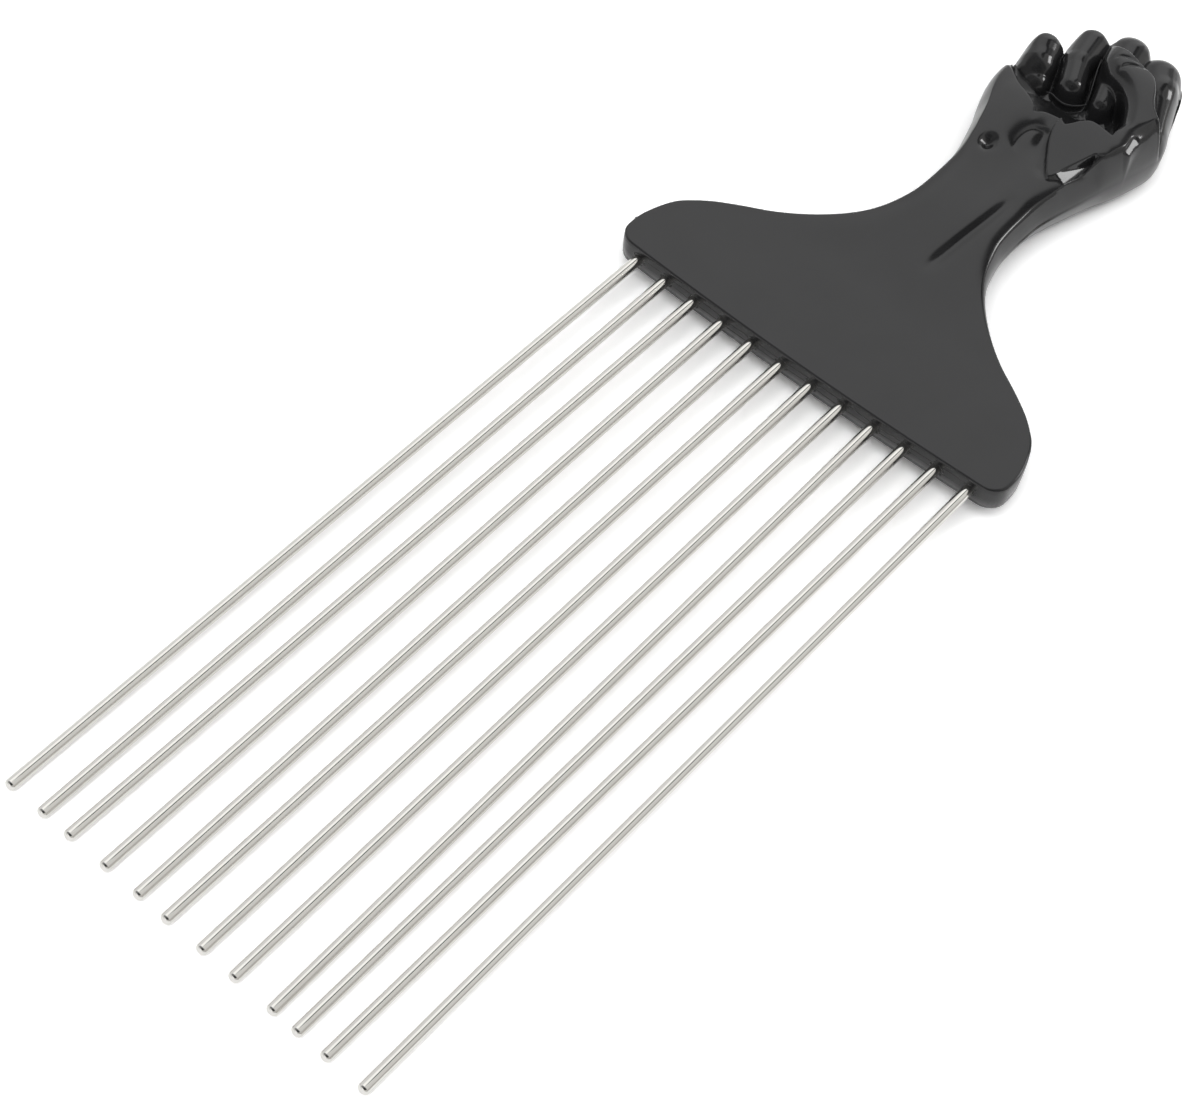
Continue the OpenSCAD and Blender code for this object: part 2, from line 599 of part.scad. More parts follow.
// Profile of a wire along its axis, grown by a gap, with its keying grooves
function wire_profile(gap) =
    let (
        r = wire_d / 2,
        first = front_edge(half_blade - end_margin) + key_behind,
        keys = [
            for (y = [first, each key_shares * anchor_depth])
                each [
                    [r + gap, y + gap],
                    [r - key_depth + gap, y + gap],
                    [r - key_depth + gap, y + key_w - gap],
                    [r + gap, y + key_w - gap]
                ]
        ],
        tip = [
            for (i = [0 : 6])
                let (a = 90 - 15 * i)
                [r - tip_r + tip_r * cos(a), -tooth_reach + tip_r - tip_r * sin(a)]
        ]
    )
    concat(
        [[0, -tooth_reach]],
        tip,
        gap > 0 ? [[r, -over], [r + gap, -over]] : [],
        keys,
        [[r + gap, anchor_depth + gap], [0, anchor_depth + gap]]
    );

module wire(i, gap = 0) {
    lean = atan(lean_shares[i] * pitch / tooth_reach);
    x = (i - (tooth_count - 1) / 2) * pitch;
    translate([x, 0, 0])
        rotate([0, 0, lean])
            rotate([-90, 0, 0])
                rotate_extrude($fn = wire_fn)
                    polygon(wire_profile(gap));
}

// The part stands in its frame with the back of the fist on z = 0 and the
// middle of its length at y = 0
module placed() {
    translate([0, (tooth_reach - handle_reach) / 2, back_h]) children();
}

module gate_stub() {
    translate([-half_blade - gate_proud, gate_y - gate_w / 2, -gate_t / 2])
        cube([gate_proud + gate_sunk, gate_w, gate_t]);
}

module handle() {
    color([0.06, 0.06, 0.06])
        placed()
            difference() {
                union() {
                    moulding();
                    gate_stub();
                }
                for (i = [0 : tooth_count - 1]) wire(i, cling);
            }
}

module tooth(i) {
    color([0.8, 0.79, 0.76]) placed() wire(i);
}

handle();
for (i = [0 : tooth_count - 1])
    tooth(i);
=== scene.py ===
"""Looks of a wide-tooth hair pick: a one-piece moulded handle that ends in a closed fist, with twelve
plated wires set in its blade, on a pale studio floor. Lengths are in metres, in the frame of the CAD."""
from math import acos, cos, hypot, pi, radians, sin, sqrt

import bpy
import numpy as np
from bpy.props import FloatProperty, FloatVectorProperty, PointerProperty
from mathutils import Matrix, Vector, kdtree


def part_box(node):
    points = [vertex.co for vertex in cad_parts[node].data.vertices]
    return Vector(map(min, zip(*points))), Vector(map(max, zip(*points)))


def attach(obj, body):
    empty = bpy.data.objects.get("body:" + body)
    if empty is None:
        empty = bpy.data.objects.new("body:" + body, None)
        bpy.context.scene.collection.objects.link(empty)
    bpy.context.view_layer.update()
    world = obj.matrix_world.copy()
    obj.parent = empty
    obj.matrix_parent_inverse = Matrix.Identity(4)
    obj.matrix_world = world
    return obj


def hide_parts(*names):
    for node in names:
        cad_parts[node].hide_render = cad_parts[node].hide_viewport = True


bl_info = {
    "name": "Wide-tooth hair pick",
    "version": (1, 0, 0),
    "blender": (4, 5, 0),
    "location": "View3D > Sidebar > Hair pick",
    "description": "Moulded fist handle, twelve plated wires and a studio floor",
    "category": "Add Mesh",
}

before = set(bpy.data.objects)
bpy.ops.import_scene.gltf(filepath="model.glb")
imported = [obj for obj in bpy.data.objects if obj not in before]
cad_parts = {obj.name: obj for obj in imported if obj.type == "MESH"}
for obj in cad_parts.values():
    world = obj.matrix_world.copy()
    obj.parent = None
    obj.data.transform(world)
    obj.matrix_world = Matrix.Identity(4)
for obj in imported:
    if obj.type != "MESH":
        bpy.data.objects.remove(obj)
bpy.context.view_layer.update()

MM = 0.001
WIRES = sorted(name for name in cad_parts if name.startswith("tooth_"))
FIRST_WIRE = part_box(WIRES[0])

# All on the hand is in shares: x, radii and widths of half the fist's width, y of the fist's length
# from the wrist, and heights of the palm's height or the back's depth

# How much of the flare from neck to blade is left, along the shoulder
SHOULDER = [
    [0, 1], [0.07, 1], [0.14, 0.992], [0.19, 0.975], [0.24, 0.949], [0.28, 0.918], [0.31, 0.88],
    [0.37, 0.777], [0.43, 0.635], [0.49, 0.476], [0.57, 0.316], [0.67, 0.168], [0.77, 0.072], [0.9, 0.012],
    [1, 0], [1.1, 0],
]
# How much of the flare from neck to fist is reached on the two sides, along the fist
THUMB_SIDE = [
    [-0.1, 0], [0, 0], [0.1, 0.03], [0.19, 0.17], [0.28, 0.36], [0.37, 0.55], [0.46, 0.77], [0.56, 0.97],
    [0.63, 1.05], [0.69, 0.93], [0.74, 0.73], [0.81, 0.51], [0.86, 0.35], [0.9, 0.19],
]
LITTLE_SIDE = [
    [-0.1, 0], [0, 0], [0.1, 0.01], [0.17, 0.1], [0.25, 0.28], [0.32, 0.46], [0.38, 0.67], [0.44, 0.83],
    [0.51, 0.92], [0.56, 0.92], [0.6, 0.88], [0.65, 0.92], [0.69, 0.95], [0.73, 0.96],
]
# Knuckles on the outline, little finger to index: x, y and radius
KNUCKLES = [[-0.756, 0.724, 0.222], [-0.436, 0.852, 0.224], [-0.05, 0.917, 0.269], [0.408, 0.898, 0.272]]
# Rounding of the rim, and the straight share of its wall, along the fist
RIM = [
    [0, 0.14], [0.12, 0.15], [0.22, 0.18], [0.4, 0.2], [0.55, 0.22], [0.67, 0.2], [0.78, 0.18],
    [1.05, 0.17],
]
WALL = [[0, 0], [0.12, 0], [0.22, 0.02], [0.4, 0.08], [0.55, 0.12], [0.78, 0.05], [1.05, 0.02]]
# Along the neck the rim is flatter than round by this share, and falls off by a depth over a width;
# both fade out on a stretch of the fist
SLANT, SLANT_FADES = 0.55, (0.3, 0.5)
CROWN_DEPTH, CROWN_WIDTH, CROWN_FADES = 0.104, 0.5, (0.05, 0.35)
# Places across the hand, and for each place along it the rise of the palm above the neck
SHEET_PLACES = [-1.03, -0.697, -0.424, -0.182, 0.03, 0.242, 0.545, 0.97]
PALM_SHEET = [
    [-0.148, [0, 0, 0, 0, 0, 0, 0, 0]], [0, [0, 0.005, 0.013, 0.01, 0.005, 0.01, 0.005, 0]],
    [0.111, [0.01, 0.042, 0.062, 0.047, 0.036, 0.047, 0.042, 0.01]],
    [0.204, [0.042, 0.109, 0.13, 0.099, 0.073, 0.089, 0.083, 0.031]],
    [0.296, [0.094, 0.188, 0.203, 0.156, 0.109, 0.13, 0.073, 0.031]],
    [0.37, [0.125, 0.234, 0.25, 0.208, 0.156, 0.188, 0.083, 0.052]],
    [0.444, [0.135, 0.25, 0.26, 0.245, 0.229, 0.25, 0.25, 0.104]],
    [0.556, [0.094, 0.177, 0.219, 0.229, 0.24, 0.25, 0.25, 0.104]],
    [0.667, [0.031, 0.083, 0.125, 0.125, 0.135, 0.146, 0.146, 0.104]],
]
# Ball of the thumb with the thumb on it: level along the hand, crease on its left, line where its flank
# falls, the flank's rounding and steepest slope, and how much of the rounding lies before the line
BALL_LEVEL = [
    [0.111, 0.573], [0.185, 0.63], [0.241, 0.677], [0.315, 0.74], [0.389, 0.812], [0.472, 0.865],
    [0.537, 0.87], [0.611, 0.906], [0.685, 0.958], [0.759, 0.968], [0.852, 0.885],
]
BALL_CREASE = [
    [-0.848, 0.926], [-0.364, 0.593], [0.042, 0.481], [0.048, 0.407], [0.067, 0.369], [0.121, 0.328],
    [0.206, 0.283], [0.303, 0.237], [0.388, 0.204], [0.521, 0.178], [0.667, 0.159], [0.848, 0.141],
]
BALL_FLANK = [
    [0.291, 0.139], [0.388, 0.196], [0.467, 0.228], [0.558, 0.298], [0.648, 0.363], [0.776, 0.393],
    [0.867, 0.431], [0.891, 0.459], [0.855, 0.537], [0.842, 0.62], [1.212, 0.722],
]
FLANK_ROUND = [[0, 0.08], [0.36, 0.08], [0.43, 0.6], [0.54, 0.7], [0.63, 0.12], [1, 0.08]]
FLANK_SLOPE = [[0, 1.3], [0.33, 1.3], [0.4, 0.8], [0.44, 1.1], [1, 1.1]]
FLANK_START = 0.527
# Step down from ball to palm at the crease, and its rounding
CREASE_STEP, CREASE_ROLL = 0.05, 0.045
# Flat facet at the toe of the ball: corners, a point on it with its level, and softness of its edge
FACET = [[0.461, 0.224], [0.642, 0.365], [0.612, 0.222]]
FACET_MIDDLE, FACET_LEVEL, FACET_EDGE = [0.582, 0.266], 0.57, 0.05
# Flat place on the thumb's flank: two ends with radius, and how far it is sunk
FLAT_PLACE = [[0.857, 0.465, 0.03], [0.833, 0.513, 0.034]]
FLAT_SINK = 0.004
# Both lie at these slopes across and along the hand
FLAT_SLOPES = [-0.6, 0.02]
# Brink of the hollow, from the heel of the hand over two notches to the tip of the thumb, its rounding
# at the palm and at the thumb, where the one passes into the other, and how far its wall leans
BRINK = [
    [-1.152, 0.676], [-0.945, 0.598], [-0.848, 0.559], [-0.758, 0.526], [-0.691, 0.498], [-0.612, 0.476],
    [-0.491, 0.459], [-0.352, 0.439], [-0.248, 0.417], [-0.224, 0.407], [-0.164, 0.424], [-0.067, 0.435],
    [0.042, 0.441], [0.091, 0.419], [0.139, 0.411], [0.182, 0.426], [0.23, 0.45], [0.315, 0.476],
    [0.406, 0.481], [0.509, 0.478], [0.606, 0.474], [0.6, 0.493], [0.576, 0.526], [0.533, 0.574],
    [0.436, 0.633], [0.327, 0.67], [0.206, 0.691], [0.067, 0.706], [-0.079, 0.741], [-0.152, 0.78],
    [-0.188, 0.822], [-0.194, 0.87],
]
BRINK_ROUND, THUMB_ROUND = 0.055, 0.3
THUMB_STARTS, THUMB_ROUNDS_OVER = 0.48, 0.09
WALL_LEAN = 0.045
# Edge of the hollow's floor before the fingertips and its rounding, levels of the moat round the tips
# and of the floor at the brink and at its lowest, and how steeply it falls
FLOOR_EDGE = [
    [-1.152, 0.63], [-0.788, 0.578], [-0.709, 0.569], [-0.624, 0.565], [-0.527, 0.559], [-0.388, 0.563],
    [-0.327, 0.578], [-0.236, 0.565], [-0.133, 0.567], [-0.055, 0.581], [0.012, 0.607], [0.061, 0.619],
    [0.145, 0.585], [0.255, 0.581], [0.339, 0.596], [0.461, 0.548], [0.57, 0.489], [0.727, 0.444],
]
FLOOR_EDGE_ROUND = 0.05
MOAT, FLOOR_TOP, FLOOR_LOW = 0.083, 0.458, 0.156
FLOOR_SLOPE = 0.45
# Bars of the fingers: each end is x, y, radius and crest height, and the last number is how softly it
# joins; and how steep a bar's walls are
FINGER_BARS = [
    [[-0.836, 0.696, 0.182, 0.458], [-0.776, 0.619, 0.158, 0.417], 0.031],
    [[-0.8, 0.719, 0.242, 0.656], [-0.721, 0.659, 0.227, 0.583], 0.104],
    [[-0.721, 0.659, 0.227, 0.583], [-0.63, 0.609, 0.194, 0.406], 0.104],
    [[-0.448, 0.852, 0.23, 0.635], [-0.376, 0.737, 0.188, 0.646], 0.042],
    [[-0.376, 0.737, 0.176, 0.646], [-0.224, 0.633, 0.158, 0.646], 0.042],
    [[-0.048, 0.907, 0.273, 0.656], [0.073, 0.759, 0.23, 0.646], 0.042],
    [[0.073, 0.759, 0.206, 0.583], [0.164, 0.641, 0.133, 0.542], 0.042],
    [[0.388, 0.889, 0.273, 0.656], [0.509, 0.822, 0.273, 0.667], 0.042],
    [[0.509, 0.822, 0.291, 0.667], [0.788, 0.656, 0.297, 0.448], 0.062],
]
BAR_STEEP = 4
# Bars of the back of the hand, how they fall away beside it, and the rise of the ground between them
BACK_BARS = [
    [[-0.756, 0.72, 0.23, 0.67], [-0.66, 0.54, 0.235, 0.86], 0.07],
    [[-0.436, 0.85, 0.235, 0.77], [-0.3, 0.565, 0.245, 0.95], 0.07],
    [[-0.05, 0.91, 0.28, 0.81], [0.085, 0.583, 0.255, 1], 0.07],
    [[0.408, 0.89, 0.275, 0.77], [0.51, 0.556, 0.265, 0.93], 0.07],
    [[-0.36, 0.22, 0.3, 0.67], [-0.57, 0.52, 0.27, 0.81], 0.23],
]
BACK_FALL = 0.4
BACK_RISE = [[0, 0], [0.22, 0.1], [0.4, 0.17], [0.55, 0.24], [0.7, 0.26], [0.85, 0.1], [1.05, -0.12]]
# Fine beads: the rim of the floor under the ring finger's tip, the web between two fingers, and radii
FLOOR_RIM = [
    [-0.4, 0.567, 0.323], [-0.339, 0.574, 0.312], [-0.255, 0.569, 0.302], [-0.158, 0.567, 0.302],
    [-0.073, 0.578, 0.312], [-0.006, 0.6, 0.312], [0.036, 0.617, 0.323],
]
WEB = [
    [-0.194, 0.789, 0.542], [-0.145, 0.748, 0.51], [-0.085, 0.704, 0.448], [-0.03, 0.663, 0.385],
    [0.018, 0.626, 0.323],
]
FLOOR_RIM_R, WEB_R = 0.24 * MM, 0.17 * MM
# Crisp outer edge of the thumb, with its rounding and the step down to the fingers
THUMB_OUTER = [
    [-0.303, 0.841], [-0.182, 0.837], [-0.067, 0.831], [0.03, 0.833], [0.115, 0.826], [0.279, 0.807],
    [0.4, 0.794], [0.503, 0.776], [0.606, 0.735], [0.715, 0.678], [0.842, 0.643], [0.982, 0.617],
    [1.212, 0.6],
]
THUMB_CRISP, THUMB_STEP = 0.06, 0.25
# Furrows as path, width and depth: three in the neck and palm, then two folds of skin on the thumb
PALM_FURROWS = [
    [[[0.164, -0.348], [0.194, -0.278], [0.23, -0.167], [0.267, -0.056], [0.297, 0.065]], 0.073, 0.04],
    [[[-0.121, 0.237], [-0.145, 0.289], [-0.115, 0.337], [0, 0.37]], 0.061, 0.025],
    [[[0.339, 0.2], [0.242, 0.239], [0.145, 0.281], [0.067, 0.326], [0.012, 0.374]], 0.079, 0.036],
]
THUMB_FOLDS = [
    [[[0.115, 0.726], [0.176, 0.763], [0.285, 0.787], [0.4, 0.804]], 0.027, 0.031],
    [[[-0.036, 0.759], [0.048, 0.785], [0.145, 0.8], [0.279, 0.798]], 0.027, 0.029],
]
# Share of a furrow's length on which it fades, what is left at its end, and how boxy it is
FURROW_FADE, FURROW_END, FURROW_BOXY = 0.3, 0.35, 1.6
# Dimple in the heel of the hand: place, half sizes and depth
DIMPLE_PLACE, DIMPLE_HALF, DIMPLE_DEPTH = [-0.358, 0.2], [0.073, 0.091], 0.115
# Sideways drift of each wire's tip, in shares of the pitch
LEAN = [-0.07, -0.01, -0.14, 0.01, 0.07, -0.04, 0.07, 0.07, 0.24, -0.01, -0.14, -0.02]

# How softly ball, fingers, thumb and back join what they stand on, and the least height anywhere
BALL_JOIN, FINGER_JOIN, THUMB_JOIN, BACK_JOIN = 0.03, 0.04, 0.015, 0.13
LEAST = 0.04
# Share of the shoulder where the blade is flat, and where the plain neck ends and the hollow begins
FLAT_SHARE = 0.42
NECK_ENDS, HOLLOW_BEGINS = -0.36, 0.2

# From the shoulder's end to the wrist, set-back of the blade's front, rounding of its rim, and draft
WRIST_GAP = 2 * MM
FRONT_SET_BACK = 0.5 * MM
BLADE_RIM = 0.45 * MM
DRAFT = 0.05 * MM

# Lines of the mesh: distances from the outline, and counts between them
RIM_LINES = np.array([0, 0.05, 0.12, 0.22, 0.34, 0.48, 0.64, 0.85, 1.1, 1.4, 1.8]) * MM
INNER_COLUMNS = 171
BLADE_ROWS, NECK_ROWS, FIST_ROWS = 24, 44, 264
WIRE_SIDES, WIRE_RINGS, DOME_RINGS = 48, 60, 12

# Waves of the flash round a wire and along the blade's front: height, count, and turn with the phase
LIP_WAVES = ((0.3, 3, 1.7), (0.25, 7, 2.9), (0.2, 13, 1))
FRONT_WAVES = ((0.16, 230, 1), (0.07, 610, 3))
# Two streaks on the blade's front: height in mm and phase, reach to the sides, and radius
FRONT_STREAKS, STREAK_REACH, STREAK_RADIUS = ((0.95, 0.4), (-0.35, 2.1)), 0.93, 0.1 * MM

# Camera of the photograph: place in the modelling frame, turn in degrees, film and lens in mm
CAMERA_PLACE = (0.141736, -0.260477, 0.355329)
CAMERA_TURN = (35.1013, -4.5721, 40.5416)
CAMERA_FILM, CAMERA_LENS = 36, 82.892
# Lamp: point on the fist that it is aimed at, place from there, width and radiance
LAMP_AIM = (0, 80 * MM, 5 * MM)
LAMP_OFFSET = (0.22, 0.25, 0.24)
LAMP_WIDTH, LAMP_RADIANCE = 0.11, 9
FLOOR_CORNERS = ((-3, -3), (3, -3), (3, 3), (-3, 3))
# Directions to the camera and to the brightest part of the ceiling
CAMERA_WAY, CEILING_WAY = (0.31, -0.56, 0.77), (0.12, -0.4, 1)


def smooth_step(t):
    """Soft passage from 0 to 1 while t goes from 0 to 1."""
    t = np.clip(t, 0, 1)
    return t * t * (3 - 2 * t)


def fade(v, start, stop):
    """Soft passage from 1 at start to 0 at stop."""
    return 1 - smooth_step((v - start) / (stop - start))


def mix(a, b, t):
    return a + (b - a) * t


def smooth_max(a, b, k):
    """The higher of two heights, blended where they are less than k apart."""
    h = np.clip(0.5 + 0.5 * (a - b) / k, 0, 1)
    return mix(b, a, h) + k * h * (1 - h)


def ripple(waves, v, phase):
    """Height of a sum of waves at a place."""
    return sum(height * np.sin(count * v + turn * phase) for height, count, turn in waves)


def hermite(t, a, b, start, end):
    """Cubic from a to b with the given changes at its ends."""
    return ((2 * t**3 - 3 * t**2 + 1) * a + (t**3 - 2 * t**2 + t) * start
            + (3 * t**2 - 2 * t**3) * b + (t**3 - t**2) * end)


def curve(table, v):
    """Smooth curve through a table of places and values."""
    tab = np.array(table, float)
    place, value = tab[:, 0], tab[:, 1]
    slope = np.empty(len(tab))
    slope[1:-1] = (value[2:] - value[:-2]) / (place[2:] - place[:-2])
    slope[0] = (value[1] - value[0]) / (place[1] - place[0])
    slope[-1] = (value[-1] - value[-2]) / (place[-1] - place[-2])
    x = np.clip(v, place[0], place[-1])
    i = np.clip(np.searchsorted(place, x, side="right") - 1, 0, len(tab) - 2)
    h = place[i + 1] - place[i]
    t = (x - place[i]) / h
    return hermite(t, value[i], value[i + 1], h * slope[i], h * slope[i + 1])


def roll(d, r):
    """Quarter round from 0 at the edge to 1 at a distance r inside it."""
    q = np.clip(d / r, 0, 1)
    return np.sqrt(np.clip(1 - (1 - q) ** 2, 0, 1))


def smooth_line(line, parts=4, sharp_cosine=0.64):
    """A drawn line with its bends rounded, but its sharp corners kept."""
    p = [np.array(q) for q in line]

    def sharp(i):
        if i in (0, len(p) - 1):
            return True
        a, b = p[i] - p[i - 1], p[i + 1] - p[i]
        return np.dot(a, b) < sharp_cosine * np.linalg.norm(a) * np.linalg.norm(b)

    out = [p[0]]
    for i in range(len(p) - 1):
        step = p[i + 1] - p[i]
        start = step if sharp(i) else 0.5 * (p[i + 1] - p[i - 1])
        end = step if sharp(i + 1) else 0.5 * (p[i + 2] - p[i])
        out += [hermite(k / parts, p[i], p[i + 1], start, end) for k in range(1, parts + 1)]
    return [tuple(q) for q in out]


def side_of(x, y, line, tie=1e-9):
    """Distance from a drawn line, positive on its right as it is drawn. Where two of its parts are
    equally near, the one that the point lies more squarely beside decides."""
    best, found, square = np.full(np.shape(x), np.inf), np.zeros(np.shape(x)), np.zeros(np.shape(x))
    for (ax, ay), (bx, by) in zip(line, line[1:]):
        dx, dy = bx - ax, by - ay
        span = hypot(dx, dy)
        t = np.clip(((x - ax) * dx + (y - ay) * dy) / span**2, 0, 1)
        d = np.hypot(x - ax - t * dx, y - ay - t * dy)
        across = ((x - ax) * dy - (y - ay) * dx) / span
        nearer = (d < best - tie) | ((d < best + tie) & (np.abs(across) > square))
        best, square = np.where(nearer, d, best), np.where(nearer, np.abs(across), square)
        found = np.where(nearer, np.sign(across) * d, found)
    return found


class Plan:
    """Outline, mesh lines and heights of the handle, in metres of the modelling frame."""

    def __init__(self, size):
        self.half_blade, self.half_neck = size.blade_w / 2, size.neck_w / 2
        self.half_fist = size.fist_w / 2
        self.blade_t, self.neck_t = size.blade_t, size.neck_t
        self.shoulder, self.fist_len = size.shoulder_len, size.fist_len
        self.palm_h, self.back_h = size.palm_h, size.back_h
        self.wrist = size.shoulder_len + WRIST_GAP
        self.reach = self.wrist + size.fist_len
        self.bow, self.corner = size.front_bow, size.corner_r
        self.knuckles = [(*self.spot(k), k[2] * self.half_fist) for k in KNUCKLES]
        self.top = self.top_line()
        self.runs = np.r_[0, np.cumsum(np.hypot(*np.diff(self.top, axis=0).T))]

    def on_fist(self, y):
        """Place along the fist as a share."""
        return (y - self.wrist) / self.fist_len

    def spot(self, share):
        """Point on the hand from its shares."""
        return share[0] * self.half_fist, self.wrist + share[1] * self.fist_len

    def path(self, line):
        return smooth_line([self.spot(p) for p in line])

    def half_width(self, y, table):
        """Distance of one side's outline from the middle."""
        to_blade = (self.half_blade - self.half_neck) * curve(SHOULDER, y / self.shoulder)
        to_fist = (self.half_fist - self.half_neck) * curve(table, self.on_fist(y))
        return self.half_neck + to_blade + to_fist

    def front_edge(self, x):
        """Front outline of the blade, bowed and with round corners."""
        bow = self.bow * (1 - (x / self.half_blade) ** 2)
        return FRONT_SET_BACK - bow + self.corner * (1 - roll(self.half_blade - np.abs(x), self.corner))

    def notch(self, a, b):
        """Where two neighbouring knuckles cross, or the side of the taller one."""
        dx, dy = b[0] - a[0], b[1] - a[1]
        d = hypot(dx, dy)
        along = (d * d + a[2] ** 2 - b[2] ** 2) / (2 * d)
        off = sqrt(max(0, a[2] ** 2 - along * along))
        x, y = a[0] + (along * dx - off * dy) / d, a[1] + (along * dy + off * dx) / d
        return b[0] - b[2] if y < b[1] else a[0] + a[2] if y < a[1] else x

    def top_line(self, steps=160):
        """The knuckle outline from left to right."""
        cuts = [self.notch(a, b) for a, b in zip(self.knuckles, self.knuckles[1:])]
        points = []
        for i, (kx, ky, r) in enumerate(self.knuckles):
            start = pi if i == 0 else acos(max(-1, min(1, (cuts[i - 1] - kx) / r)))
            end = 0 if i == len(cuts) else acos(max(-1, min(1, (cuts[i] - kx) / r)))
            a = np.linspace(start, end, steps)
            points.append(np.c_[kx + r * np.cos(a), ky + r * np.sin(a)])
        return np.concatenate(points)

    def top_point(self, s):
        """Point of the knuckle outline at a share of its length."""
        v = np.clip(s, 0, 1) * self.runs[-1]
        return np.interp(v, self.runs, self.top[:, 0]), np.interp(v, self.runs, self.top[:, 1])

    def across(self, width):
        """Places of the mesh lines over rows of the given widths, as shares."""
        width = np.asarray(width, float)[:, None]
        edge = RIM_LINES[None, :] / width
        inner = np.arange(1, INNER_COLUMNS + 1)[None, :] / (INNER_COLUMNS + 1)
        return np.concatenate([edge, mix(edge[:, -1:], 1 - edge[:, -1:], inner), 1 - edge[:, ::-1]], 1)

    def grid(self):
        """Plan of the mesh: rows run across the handle, bent to its front edge and round its knuckles."""
        fine_from, bend_from, bend_power, bend_share, front_share = 0.1, 0.19, 1.5, 0.6, 1 / 3
        start, stop = self.wrist + fine_from * self.fist_len, self.reach - RIM_LINES[-1]
        flat = FLAT_SHARE * self.shoulder
        y = np.concatenate([
            RIM_LINES, np.linspace(RIM_LINES[-1], flat, BLADE_ROWS + 1)[1:],
            np.linspace(flat, start, NECK_ROWS + 1)[1:], np.linspace(start, stop, FIST_ROWS + 1)[1:],
            self.reach - RIM_LINES[-2::-1]])
        (lx, ly), (rx, ry) = self.top[0], self.top[-1]
        yl, yr = y / self.reach * ly, y / self.reach * ry
        xl, xr = -self.half_width(yl, LITTLE_SIDE), self.half_width(yr, THUMB_SIDE)
        q = np.clip((self.on_fist(y) - bend_from) / (1 - bend_from), 0, 1)
        to_top = mix(smooth_step(q), q**bend_power, bend_share)[:, None]
        s = mix(self.across(xr - xl), self.across(np.full(len(y), self.runs[-1])), to_top)
        tx, ty = self.top_point(s)
        x = mix(xl[:, None], xr[:, None], s) + to_top * (tx - mix(lx, rx, s))
        py = mix(yl[:, None], yr[:, None], s) + to_top * (ty - mix(ly, ry, s))
        to_front = np.clip(1 - y / (front_share * self.shoulder), 0, 1)[:, None] ** 2
        return x, py + to_front * self.front_edge(x)

    def reach_of(self, x, y, bar):
        """Place along a bar's axis as a share, and distance from it in shares of its radius."""
        (ax, ay), (bx, by) = self.spot(bar[0]), self.spot(bar[1])
        dx, dy = bx - ax, by - ay
        t = np.clip(((x - ax) * dx + (y - ay) * dy) / (dx * dx + dy * dy), 0, 1)
        r = mix(bar[0][2], bar[1][2], t) * self.half_fist
        return t, np.hypot(x - ax - t * dx, y - ay - t * dy) / r, r

    def finger(self, x, y, bar, h):
        """Height of a round bar that stands on steep walls."""
        t, q, r = self.reach_of(x, y, bar)
        round_off = 1 - np.sqrt(np.clip(1 - q * q, 0, 1))
        return h * mix(bar[0][3], bar[1][3], t) - r * round_off - BAR_STEEP * r * np.maximum(q - 1, 0)

    def swell(self, x, y, bar, h):
        """Height of a flat-oval bar that rises from the parting plane."""
        t, q, _ = self.reach_of(x, y, bar)
        crest = h * mix(bar[0][3], bar[1][3], t)
        return np.where(q < 1, crest * np.sqrt(np.clip(1 - q * q, 0, 1)), h * BACK_FALL * (1 - q))

    def sheet(self, x, y):
        """Rise of the palm, smooth between the places of its table."""
        u, v = x / self.half_fist, self.on_fist(y)
        places, last = SHEET_PLACES, len(SHEET_PLACES) - 1
        rise = [curve([[row[0], row[1][i]] for row in PALM_SHEET], v) for i in range(last + 1)]
        around = [(max(i - 1, 0), min(i + 1, last)) for i in range(last + 1)]
        slopes = [(rise[b] - rise[a]) / (places[b] - places[a]) for a, b in around]
        u = np.clip(u, places[0], places[-1])
        z = np.zeros_like(u)
        for i in range(last):
            step = places[i + 1] - places[i]
            t = (u - places[i]) / step
            here = (t >= 0) & ((t < 1) | (i == last - 1))
            z = np.where(here, hermite(t, rise[i], rise[i + 1], step * slopes[i], step * slopes[i + 1]), z)
        return z

    def joined(self, shape, x, y, bars, h):
        """Height of several bars that run into each other."""
        z = np.full(np.shape(x), -h)
        for bar in bars:
            z = smooth_max(z, shape(x, y, bar, h), bar[2] * h)
        return z

    def furrow(self, x, y, furrow, h):
        """Soft-ended groove along a path."""
        line = self.path(furrow[0])
        (ax, ay), (bx, by) = line[0], line[-1]
        dx, dy = bx - ax, by - ay
        t = ((x - ax) * dx + (y - ay) * dy) / (dx * dx + dy * dy)
        ends = smooth_step(np.minimum(t, 1 - t) / FURROW_FADE + FURROW_END)
        d = np.abs(side_of(x, y, line)) / (furrow[1] * self.half_fist)
        return h * furrow[2] * ends * np.exp(-d**FURROW_BOXY)

    def dimple(self, x, y):
        (cx, cy), (rx, ry) = self.spot(DIMPLE_PLACE), DIMPLE_HALF
        u, v = (x - cx) / (rx * self.half_fist), (y - cy) / (ry * self.half_fist)
        return self.palm_h * DIMPLE_DEPTH * np.exp(-(u * u + v * v))

    def past_flat(self, y):
        """Place between the end of the flat blade and the wrist, as a share."""
        flat = FLAT_SHARE * self.shoulder
        return np.clip((y - flat) / (self.wrist - flat), 0, 1)

    def plain_half(self, y):
        """Half the thickness of blade and neck."""
        return mix(self.blade_t, self.neck_t, smooth_step(self.past_flat(y))) / 2

